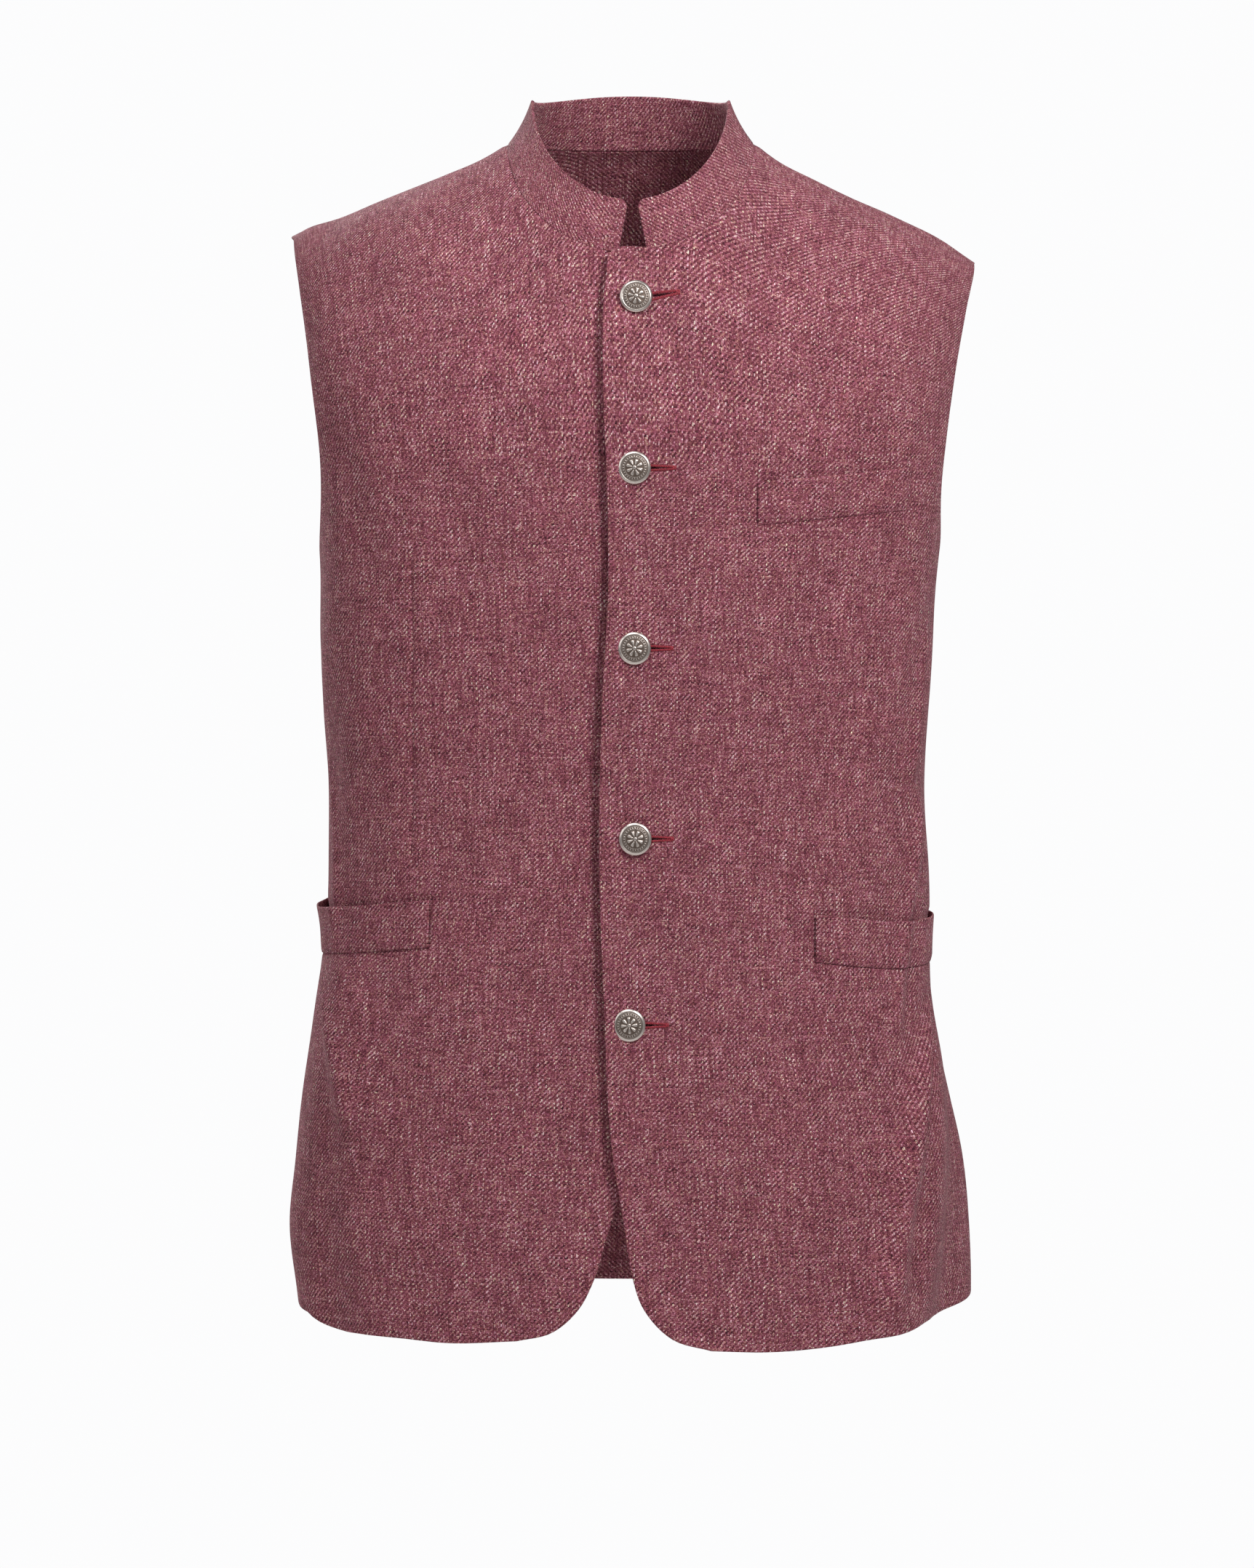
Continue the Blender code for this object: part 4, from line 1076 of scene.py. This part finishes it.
LAP_LINE = np.array(on_front(curve_through(LAP_EDGE, EDGE_STEP)))
LAP_LINE = LAP_LINE[np.argsort(LAP_LINE[:, 1])]
SIDE_SEAMS = {side: np.array(side_edge(side)) for side in (-1, 1)}
WELTS = {welt: welt_edges(welt) for welt in (CHEST_WELT, POCKET_LEFT, POCKET_RIGHT)}
WELT_LENGTHS = {welt.name: abs(top[-1, 0] - top[0, 0]) for welt, (top, low) in WELTS.items()}


# The cloth pieces


def make_front(side, finish):
    """A front and its welts. The wearer's left front laps over the other."""
    is_over = side > 0
    edge, hem = (LAP_EDGE, HEM_LEFT) if is_over else (UNDER_EDGE, HEM_RIGHT)
    centre = on_front(curve_through(edge, EDGE_STEP))
    bottom = on_front(curve_through(hem, EDGE_STEP))
    crossing, start = (NECK_OVER, NECK_OVER_START) if is_over else (NECK_UNDER, NECK_UNDER_START)
    neck = on_front([(x, neck_height(x)) for x in crossing]) + neck_front(side, start)
    shoulder = shoulder_edge(side, NECK_HALF, shoulder_tip(side)[0], False)
    armhole = armhole_edge(side, 0.0, underarm_angle())
    seam = side_edge(side)
    hem_end = between(bottom[-1], seam[0])
    outline = joined(centre, bottom, hem_end, seam, armhole[::-1], shoulder[::-1], neck[::-1])
    outline = drawn_in(outline, -SEAM_OVER)
    place = front_place(side)

    def front(flat, out):
        return place(flat, out + mouths(side, flat))

    name = "front_left" if is_over else "front_right"
    holes = [slit(button, tilt) for button, tilt in zip(BUTTONS, HOLE_TILTS)] if is_over else []
    lines = [] if is_over else dart_lines(DART_RIGHT)
    for welt, (top, low) in WELTS.items():
        if (welt.inner_x > 0) == is_over:
            lines += [top, low, between(low[0], top[0])]
    lay(f"{name}_cloth", outline, front, WALL, -WALL, name, finish, holes, lines)
    for welt, (top, low) in WELTS.items():
        if (welt.inner_x > 0) != is_over:
            continue

        def welt_place(flat, out, welt=welt, top=top, low=low):
            shares = welt_share(flat, top, low)
            raised = gape(welt, *shares) - sewn_down(welt, *shares)
            return place(flat, out + raised - (0.0 if welt.gape else FLAT_SUNK))

        mark = welt_outline(top, low)
        lay(f"{welt.name}_cloth", mark, welt_place, WELT_WALL, WELT_BASE, welt.name, finish)


def make_back(finish):
    """The back, in one piece."""

    def turned(side, edge):
        return [(-side * (HALF_GIRTH - abs(along)), rise) for along, rise in edge]

    halves = []
    for side in (-1, 1):
        low = HEM_SIDE[side]
        along_seam = abs(side_edge(side)[0][0])
        hem = []
        for t in np.linspace(0.0, 1.0, HEM_BACK_STEPS + 1):
            z = HEM_BACK + (low - HEM_BACK) * ease(t)
            hem.append((side * (HALF_GIRTH + (along_seam - HALF_GIRTH) * t), z - CHEST_Z))
        armhole = armhole_edge(side, underarm_angle(), 360.0)
        shoulder = shoulder_edge(side, NECK_HALF, shoulder_tip(side)[0], True)
        halves.append(
            turned(side, hem + side_edge(side) + armhole + shoulder[::-1] + neck_back(side)[::-1])
        )
    right, left = halves
    outline = drawn_in(joined(right, left[::-1]), -SEAM_OVER)
    lay("back_cloth", outline, back_place, WALL, -WALL, "back", finish)


def collar_stations():
    """Side, angle at the seam and angle at the top for each column of the collar."""
    plain = [math.degrees(a) for a in neck_angles()]

    def half(side, end, top_end):
        low_end = math.degrees(math.asin(end / NECK_HALF))
        lean = low_end - math.degrees(math.asin(top_end / COLLAR_TOP_HALF))
        run = math.degrees(COLLAR_LEAN_RUN / NECK_HALF)
        angles = [low_end + step for step in COLLAR_END_STEPS]
        angles += [a for a in plain if a > angles[-1] + 1]
        made = []
        for a in angles:
            top = a - lean * (1 - float(ease((a - low_end) / run)))
            made.append((side, math.radians(a), math.radians(top)))
        return made

    back = [(-1, 180 - a) for a in plain[-2::-1]] + [(1, 180 - a) for a in plain[1:-1]]
    back = [(side, math.radians(a), math.radians(a)) for side, a in back]
    right = half(-1, COLLAR_END_RIGHT, COLLAR_TOP_END_RIGHT)
    left = half(1, COLLAR_END_LEFT, COLLAR_TOP_END_LEFT)
    return right + back + left[::-1]


def make_collar(finish):
    """The band collar, from its right front end round the back to its left one."""
    stations = collar_stations()
    low = np.array([neck_seam(side, low_turn) for side, low_turn, _ in stations])
    top = np.array([collar_top(side, top_turn) for side, _, top_turn in stations])
    up = (top - low) / np.linalg.norm(top - low, axis=1)[:, None]
    low = low - up * COLLAR_TUCK
    run = run_along(low)
    from_end = np.minimum(run, run[-1] - run)
    short = COLLAR_ROUND * (1 - np.sqrt(1 - (1 - np.minimum(from_end / COLLAR_ROUND, 1.0)) ** 2))
    top = top - up * short[:, None]
    along = np.gradient(low + top, axis=0)
    normal = np.cross(up, along)
    normal /= np.linalg.norm(normal, axis=1)[:, None]
    sideways = np.array([math.sin(turn) ** 2 for _, turn, _ in stations])
    tall = np.linalg.norm(top - low, axis=1)
    outer, inner, flat = [], [], []
    for share in COLLAR_SHARES:
        dish = COLLAR_DISH * sideways * 4 * share * (1 - share)
        row = low + (top - low) * share - normal * dish[:, None]
        distance = np.minimum(np.minimum(tall * share, tall * (1 - share)), from_end)
        half = half_thickness(distance, COLLAR_WALL)
        outer.append(row - normal * (COLLAR_WALL / 2 - half)[:, None])
        inner.append(row - normal * (COLLAR_WALL / 2 + half)[:, None])
        flat.append(np.stack([run, tall * share], axis=-1))
    count = len(stations)
    faces = []
    for row in range(len(COLLAR_SHARES) - 1):
        for i in range(count - 1):
            a = row * count + i
            faces.append((a, a + count, a + 1 + count, a + 1))
    parts = (np.concatenate(part) for part in (outer, inner, flat))
    shell("collar_cloth", faces, *parts, "collar", finish)


# Buttons and stitching


def tube_mesh(paths, radius, sides):
    """Vertices and faces of round closed tubes along paths, all of one point count."""
    vertices, faces = [], []
    for path in paths:
        path = np.asarray(path)
        tangent = np.gradient(path, axis=0)
        tangent /= np.linalg.norm(tangent, axis=1)[:, None]
        span = path[-1] - path[0]
        across = np.cross(span, (0.0, -1.0, 0.3))
        across /= np.linalg.norm(across)
        first = len(vertices)
        for point, ahead in zip(path, tangent):
            normal = np.cross(ahead, across)
            normal /= np.linalg.norm(normal)
            for k in range(sides):
                turn = 2 * math.pi * k / sides
                spoke = math.cos(turn) * across + math.sin(turn) * normal
                vertices.append(tuple(point + radius * spoke))
        for row in range(len(path) - 1):
            for k in range(sides):
                a = first + row * sides + k
                b = first + row * sides + (k + 1) % sides
                faces.append((a, b, b + sides, a + sides))
        last = first + (len(path) - 1) * sides
        faces.append(tuple(first + k for k in reversed(range(sides))))
        faces.append(tuple(last + k for k in range(sides)))
    return vertices, faces


def make_stitching(number, button, tilt, finish):
    """The worked edge of a buttonhole: two rows of stitches and a bar at its outer end."""
    place = front_place(1)
    start, ahead, aside, length = slit_frame(button, tilt)
    stitches = []
    for k, t in enumerate(np.arange(0.0, length, STITCH_STEP)):
        uneven = STITCH_UNEVEN * math.sin(k * 2.3 + number)
        for way in (-1, 1):
            edge = start + ahead * (t + STITCH_SHIFT * way) + aside * way * (slit_half(t) + uneven)
            flat = [edge + aside * way * far for far, _ in STITCH_ARCH]
            stitches.append((np.array(flat), np.array([high for _, high in STITCH_ARCH])))
    reach = STITCH_ARCH[-1][0] + slit_half(length)
    for k in range(TACK_STITCHES):
        t = length + STITCH_STEP * (k - 0.5)
        sweep = np.linspace(-reach, reach, len(STITCH_ARCH))
        flat = [start + ahead * t + aside * s for s in sweep]
        high = TACK_HIGH * np.sqrt(1 - (sweep / reach) ** 2 * TACK_ROUND) - TACK_SUNK
        stitches.append((np.array(flat), high))
    paths = [place(flat, high) for flat, high in stitches]
    name = f"buttonhole_{number}"
    mesh = new_mesh(name, *tube_mesh(paths, STITCH_RADIUS, STITCH_SIDES), finish)
    piece = new_piece(name, mesh)
    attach(piece, "root")


def relief(radius, turn):
    """Height of the button's pattern, 0 to 1, by the share of the radius and the angle."""
    petal = np.clip(np.cos(PETALS * turn / 2) ** 2 * 1.5 - 0.35, 0.0, 1.0)
    petals = petal * ease((radius - PETAL_START) / 0.08) * ease((PETAL_END - radius) / 0.14)
    vein = 1 - 0.5 * np.exp(-((np.sin(PETALS * turn / 2) * radius / 0.02) ** 2))
    centre = np.sqrt(np.clip(1 - (radius / CENTRE_END) ** 2, 0.0, 1.0))
    bead = np.clip(0.35 + 0.65 * np.cos(BEADS * turn), 0.0, 1.0)
    beads = np.exp(-(((radius - BEAD_RING) / BEAD_WIDE) ** 2)) * bead
    inner, outer = (0.6 * np.exp(-(((radius - at) / RING_WIDE) ** 2)) for at in RINGS)
    return np.clip(petals * vein + centre + beads + (inner + outer), 0.0, 1.0)


def button_mesh(seat, lean, flower_turn, finish):
    """A domed shank button with a flower in a beaded ring. Its rim's back is at zero, and
    the shank leans down from the back by an angle, so that it stands square on the cloth."""
    rings = np.linspace(0.0, 1.0, RELIEF_RINGS + 1)[1:]
    turns = np.linspace(0.0, 2 * math.pi, RELIEF_SPOKES, endpoint=False)
    vertices, heights = [(0.0, 0.0, BUTTON_DOME)], [1.0]
    for ring in rings:
        dome = BUTTON_RIM + (BUTTON_DOME - BUTTON_RIM) * math.sqrt(1 - ring * ring * BUTTON_ROUND)
        pattern = relief(ring, turns + flower_turn)
        sunk = RELIEF_DEPTH * (pattern - 1) * float(ease((RELIEF_END - ring) / 0.06))
        for turn, down, share in zip(turns, sunk, pattern):
            radius = BUTTON_RADIUS * ring
            vertices.append((radius * math.cos(turn), radius * math.sin(turn), dome + down))
            heights.append(float(share) if ring < WORN_FROM else 1.0)
    shank_end = -(seat - CAD_SEAM_GAP - SHANK_RADIUS * abs(math.sin(lean))) * math.cos(lean)
    back = (*BUTTON_BACK, (SHANK_RADIUS, shank_end))
    for radius, z in back:
        shift = min(z, 0.0) * math.tan(lean)
        for turn in turns:
            vertices.append((radius * math.cos(turn), radius * math.sin(turn) + shift, z))
            heights.append(BACK_WEAR)
    count, levels = RELIEF_SPOKES, RELIEF_RINGS + len(back)
    faces = [(0, 1 + k, 1 + (k + 1) % count) for k in range(count)]
    for row in range(levels - 1):
        for k in range(count):
            a, b = 1 + row * count + k, 1 + row * count + (k + 1) % count
            faces.append((a, a + count, b + count, b))
    last = 1 + (levels - 1) * count
    faces.append(tuple(last + k for k in reversed(range(count))))
    mesh = new_mesh("button_relief", vertices, faces, finish)
    mesh.attributes.new("relief", "FLOAT", "POINT").data.foreach_set("value", heights)
    return mesh


def make_buttons(finish):
    """The five buttons. The flower of each is turned a little differently."""
    for i, button in enumerate(BUTTONS):
        side = 1 if button.x >= 0 else -1
        along, rise = flat_at(side, button.z, button.x, 0)
        places = []
        for dx, dz in ((0, 0), (0.001, 0), (0, 0.001)):
            flat = np.array([(along + dx, rise + dz)])
            places.append(Vector(front_skin(flat, 0.0, False)[0]))
        normal = (places[1] - places[0]).cross(places[2] - places[0]).normalized()
        facing = Vector((normal.x, normal.y, normal.z * BUTTON_SLOPE)).normalized()
        upright = facing.cross(Vector((1, 0, 0))).normalized()
        lean = math.asin(normal.dot(upright))
        seat = WALL + LAP_GAP + CAD_SEAM_GAP + BUTTON_BACK_RADIUS * abs(math.sin(lean))
        turning = Matrix((upright.cross(facing), upright, facing)).transposed()
        mesh = button_mesh(seat, lean, BUTTON_TURNS[i], finish)
        piece = new_piece(f"button_{i + 1}_metal", mesh)
        piece.rotation_euler = turning.to_euler()
        piece.location = places[0] + normal * seat
        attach(piece, "root")
        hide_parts(f"button_{i + 1}")


# Materials


class Graph:
    """Short forms for the nodes of one material."""

    def __init__(self, name):
        self.material = bpy.data.materials.new(name)
        self.material.use_nodes = True
        self.tree = self.material.node_tree
        self.shader = self.tree.nodes["Principled BSDF"]

    def put(self, socket, value):
        if isinstance(value, bpy.types.NodeSocket):
            self.tree.links.new(value, socket)
        else:
            socket.default_value = value

    def node(self, kind, output=0, settings=(), **inputs):
        made = self.tree.nodes.new(kind)
        for name, value in dict(settings).items():
            setattr(made, name, value)
        for name, value in inputs.items():
            self.put(made.inputs[name.replace("_", " ")], value)
        return made.outputs[output]

    def math(self, operation, *values):
        made = self.tree.nodes.new("ShaderNodeMath")
        made.operation = operation
        for socket, value in zip(made.inputs, values):
            self.put(socket, value)
        return made.outputs[0]

    def plus(self, first, second):
        return self.math("ADD", first, second)

    def minus(self, first, second):
        return self.math("SUBTRACT", first, second)

    def times(self, first, second):
        return self.math("MULTIPLY", first, second)

    def scaled(self, value, factor, more):
        return self.math("MULTIPLY_ADD", value, factor, more)

    def noise(self, x, y, z=0.0, detail=2.0):
        """Noise at a point whose x and y are each a value and a factor."""
        place = self.node("ShaderNodeCombineXYZ", X=self.times(*x), Y=self.times(*y), Z=z)
        return self.node(
            "ShaderNodeTexNoise", Vector=place, Scale=1.0, Detail=detail, Roughness=0.6
        )

    def spread(self, value, low, high, to_low, to_high):
        """A value between low and high, taken to the range from to_low to to_high."""
        span = dict(From_Min=low, From_Max=high, To_Min=to_low, To_Max=to_high)
        return self.node("ShaderNodeMapRange", Value=value, **span)

    def ramp(self, share, stops):
        made = self.tree.nodes.new("ShaderNodeValToRGB")
        self.put(made.inputs[0], share)
        elements = made.color_ramp.elements
        while len(elements) < len(stops):
            elements.new(0.5)
        for element, (at, colour) in zip(elements, stops):
            element.position = at
            element.color = colour
        return made.outputs[0]

    def mix(self, share, first, second, way="MIX"):
        made = self.tree.nodes.new("ShaderNodeMix")
        made.data_type = "RGBA"
        made.blend_type = way
        for socket, value in ((0, share), (6, first), (7, second)):
            self.put(made.inputs[socket], value)
        return made.outputs[2]

    def look(self, **inputs):
        """The material, with these inputs of its shader set."""
        for name, value in inputs.items():
            self.put(self.shader.inputs[name.replace("_", " ")], value)
        return self.material

    def bump(self, height, strength, distance):
        return self.node("ShaderNodeBump", Height=height, Strength=strength, Distance=distance)


def twill():
    """Coarse two-up two-down twill of uneven, flecked yarns, with painted shade down between the
    yarns and painted highlight on their crowns.
    """
    g = Graph("twill")
    place = g.node("ShaderNodeAttribute", output=1, settings=(("attribute_name", "weave"),))
    split = g.tree.nodes.new("ShaderNodeSeparateXYZ")
    g.put(split.inputs[0], place)
    along, rise = split.outputs[0], split.outputs[1]
    u = g.math("DIVIDE", along, THREAD_ACROSS)
    v = g.math("DIVIDE", rise, THREAD_UP)
    wander_u = g.minus(g.noise((u, WANDER_WIDE), (v, WANDER_LONG)), 0.5)
    wander_v = g.minus(g.noise((u, WANDER_LONG), (v, WANDER_WIDE), 5.0), 0.5)
    u = g.scaled(wander_u, WANDER * 4, u)
    v = g.scaled(wander_v, WANDER * 4, v)
    warp, weft = g.math("FLOOR", u), g.math("FLOOR", v)
    u_part = g.minus(g.math("FRACT", u), 0.5)
    v_part = g.minus(g.math("FRACT", v), 0.5)

    def yarn_height(part, phase):
        """Round across the yarn, and a crown along each float."""
        crown = g.math("COSINE", g.times(phase, math.pi / 2))
        return g.scaled(crown, 0.6, g.scaled(g.times(part, part), -3.2, 0.8))

    warp_high = yarn_height(u_part, g.minus(v, warp))
    weft_high = yarn_height(v_part, g.minus(g.minus(u, weft), 3.0))
    height = g.math("MAXIMUM", warp_high, weft_high)
    warp_shows = g.math("GREATER_THAN", warp_high, weft_high)

    def yarn_tone(thread, run, z):
        """Long runs and short flecks of one yarn, and its own tint."""
        across = (thread, 7.31)
        long_run = g.noise(across, (run, 0.05), z, detail=1.0)
        fleck = g.noise(across, (run, 0.85), z + 4.0, detail=1.0)
        both = g.plus(g.times(long_run, 0.8), g.times(fleck, 1.2))
        tint = g.noise(across, (run, 0.16), z + 8.0, detail=1.0)
        return g.scaled(g.minus(both, 1.0), 0.66, 0.5), g.ramp(tint, TINT_STOPS)

    warp_tone, warp_tint = yarn_tone(warp, v, 0.0)
    weft_tone, weft_tint = yarn_tone(weft, u, 20.0)
    # Weft floats take the darker weft colours, which partly paint the shade between the twill's
    # cords.
    colour = g.mix(warp_shows, g.ramp(weft_tone, WEFT_AND_CORD_SHADE_STOPS), g.ramp(warp_tone, YARN_STOPS))
    colour = g.mix(1.0, colour, g.mix(warp_shows, weft_tint, warp_tint), way="MULTIPLY")

    # Slubs: a thread is lighter or darker over a longer run, up or across.
    up_run = g.noise((u, SLUB_WIDE), (v, SLUB_LONG), 2.0)
    across_run = g.noise((u, SLUB_LONG), (v, SLUB_WIDE), 7.0)
    blotch = g.noise((along, 38.0), (rise, 30.0), 3.0)
    runs = g.plus(g.plus(up_run, across_run), blotch)
    tone_and_recess_shade = g.scaled(runs, 0.30, 0.55)

    def slub(thread, run, z):
        """Single threads that are lighter over a long run."""
        return g.spread(g.noise((thread, 3.17), (run, 0.022), z), 0.58, 0.72, 0.0, 0.5)

    slubs = g.mix(warp_shows, slub(weft, u, 11.0), slub(warp, v, 13.0))
    slubs = g.plus(g.node("ShaderNodeRGBToBW", Color=slubs), 0.96)
    # Painted shade and highlight: each yarn is painted darker where it dips between its neighbours
    # and lighter on its crown, on top of the random tone of the runs and slubs.
    tone_and_recess_shade = g.times(g.times(tone_and_recess_shade, slubs), g.spread(height, 0.1, 1.15, 0.58, 1.10))
    grey = g.node("ShaderNodeCombineColor", Red=tone_and_recess_shade, Green=tone_and_recess_shade, Blue=tone_and_recess_shade)
    return g.look(
        Base_Color=g.mix(1.0, colour, grey, way="MULTIPLY"),
        Roughness=0.82,
        Specular_IOR_Level=0.18,
        Sheen_Weight=0.08,
        Sheen_Roughness=0.45,
        Sheen_Tint=(1.0, 0.82, 0.84, 1.0),
        Normal=g.bump(height, 0.55, 0.0004),
    )


def thread_finish():
    """Red silk-like thread with fine strands."""
    g = Graph("red_thread")
    place = g.node("ShaderNodeTexCoord", output=3)
    strands = g.node("ShaderNodeTexNoise", Vector=place, Scale=2600.0, Detail=2.0)
    colour = g.ramp(strands, THREAD_STOPS)
    return g.look(
        Base_Color=colour,
        Roughness=0.45,
        Sheen_Weight=0.2,
        Normal=g.bump(strands, 0.4, 0.0001),
    )


def metal_finish():
    """Antique nickel, dark in the recesses and brushed by wear on the high places."""
    g = Graph("antique_nickel")
    high = g.node("ShaderNodeAttribute", output=2, settings=(("attribute_name", "relief"),))
    place = g.node("ShaderNodeTexCoord", output=3)
    wear = g.node("ShaderNodeTexNoise", Vector=place, Scale=900.0, Detail=4.0)
    share = g.scaled(g.minus(wear, 0.5), 0.5, high)
    clean = g.spread(share, 0.15, 0.8, 0.0, 1.0)
    return g.look(
        Base_Color=g.mix(clean, METAL_DARK, METAL_LIGHT),
        Metallic=1.0,
        Roughness=g.spread(share, 0.0, 1.0, 0.6, 0.30),
        Normal=g.bump(wear, 0.15, 0.0001),
    )


# Studio


def make_studio():
    scene = bpy.context.scene
    scene.view_settings.view_transform = "Standard"
    world = bpy.data.worlds.new("studio")
    world.use_nodes = True
    scene.world = world
    nodes, links = world.node_tree.nodes, world.node_tree.links
    light = nodes["Background"]
    light.inputs["Color"].default_value = WORLD_COLOUR
    light.inputs["Strength"].default_value = WORLD_STRENGTH
    seen = nodes.new("ShaderNodeBackground")
    seen.inputs["Color"].default_value = BACKDROP_COLOUR
    is_seen = nodes.new("ShaderNodeLightPath")
    choice = nodes.new("ShaderNodeMixShader")
    links.new(is_seen.outputs["Is Camera Ray"], choice.inputs[0])
    links.new(light.outputs[0], choice.inputs[1])
    links.new(seen.outputs[0], choice.inputs[2])
    links.new(choice.outputs[0], nodes["World Output"].inputs["Surface"])
    for lamp in LAMPS:
        data = bpy.data.lights.new(lamp.name, "AREA")
        data.shape = "RECTANGLE"
        data.size, data.size_y = lamp.wide, lamp.tall
        data.energy = lamp.power
        made = bpy.data.objects.new(lamp.name, data)
        made.location = lamp.place
        aim = Vector(LAMP_AIM) - Vector(lamp.place)
        made.rotation_euler = aim.to_track_quat("-Z", "Y").to_euler()
        scene.collection.objects.link(made)
    disc = bpy.data.meshes.new("floor")
    ring = [
        (FLOOR_RADIUS * math.cos(t), FLOOR_RADIUS * math.sin(t), FLOOR_Z)
        for t in np.linspace(0.0, 2 * math.pi, FLOOR_STEPS, endpoint=False)
    ]
    disc.from_pydata(ring, [], [tuple(range(len(ring)))])
    disc.materials.append(Graph("floor").look(Base_Color=srgb(240, 239, 238), Roughness=0.7))
    floor = bpy.data.objects.new("floor", disc)
    scene.collection.objects.link(floor)


def make_camera():
    data = bpy.data.cameras.new("camera")
    data.sensor_fit = "AUTO"
    data.sensor_width = SENSOR
    data.lens = SENSOR * -CAMERA_PLACE[1] / (IMAGE_HEIGHT_PX * METRES_PER_PX)
    camera = bpy.data.objects.new("camera", data)
    camera.location = CAMERA_PLACE
    camera.rotation_euler = (math.pi / 2, 0.0, 0.0)
    bpy.context.scene.collection.objects.link(camera)
    bpy.context.scene.camera = camera


make_camera()
make_studio()
cloth = twill()
make_front(1, cloth)
make_front(-1, cloth)
make_back(cloth)
make_collar(cloth)
thread = thread_finish()
for number, (button, tilt) in enumerate(zip(BUTTONS, HOLE_TILTS), 1):
    make_stitching(number, button, tilt, thread)
make_buttons(metal_finish())
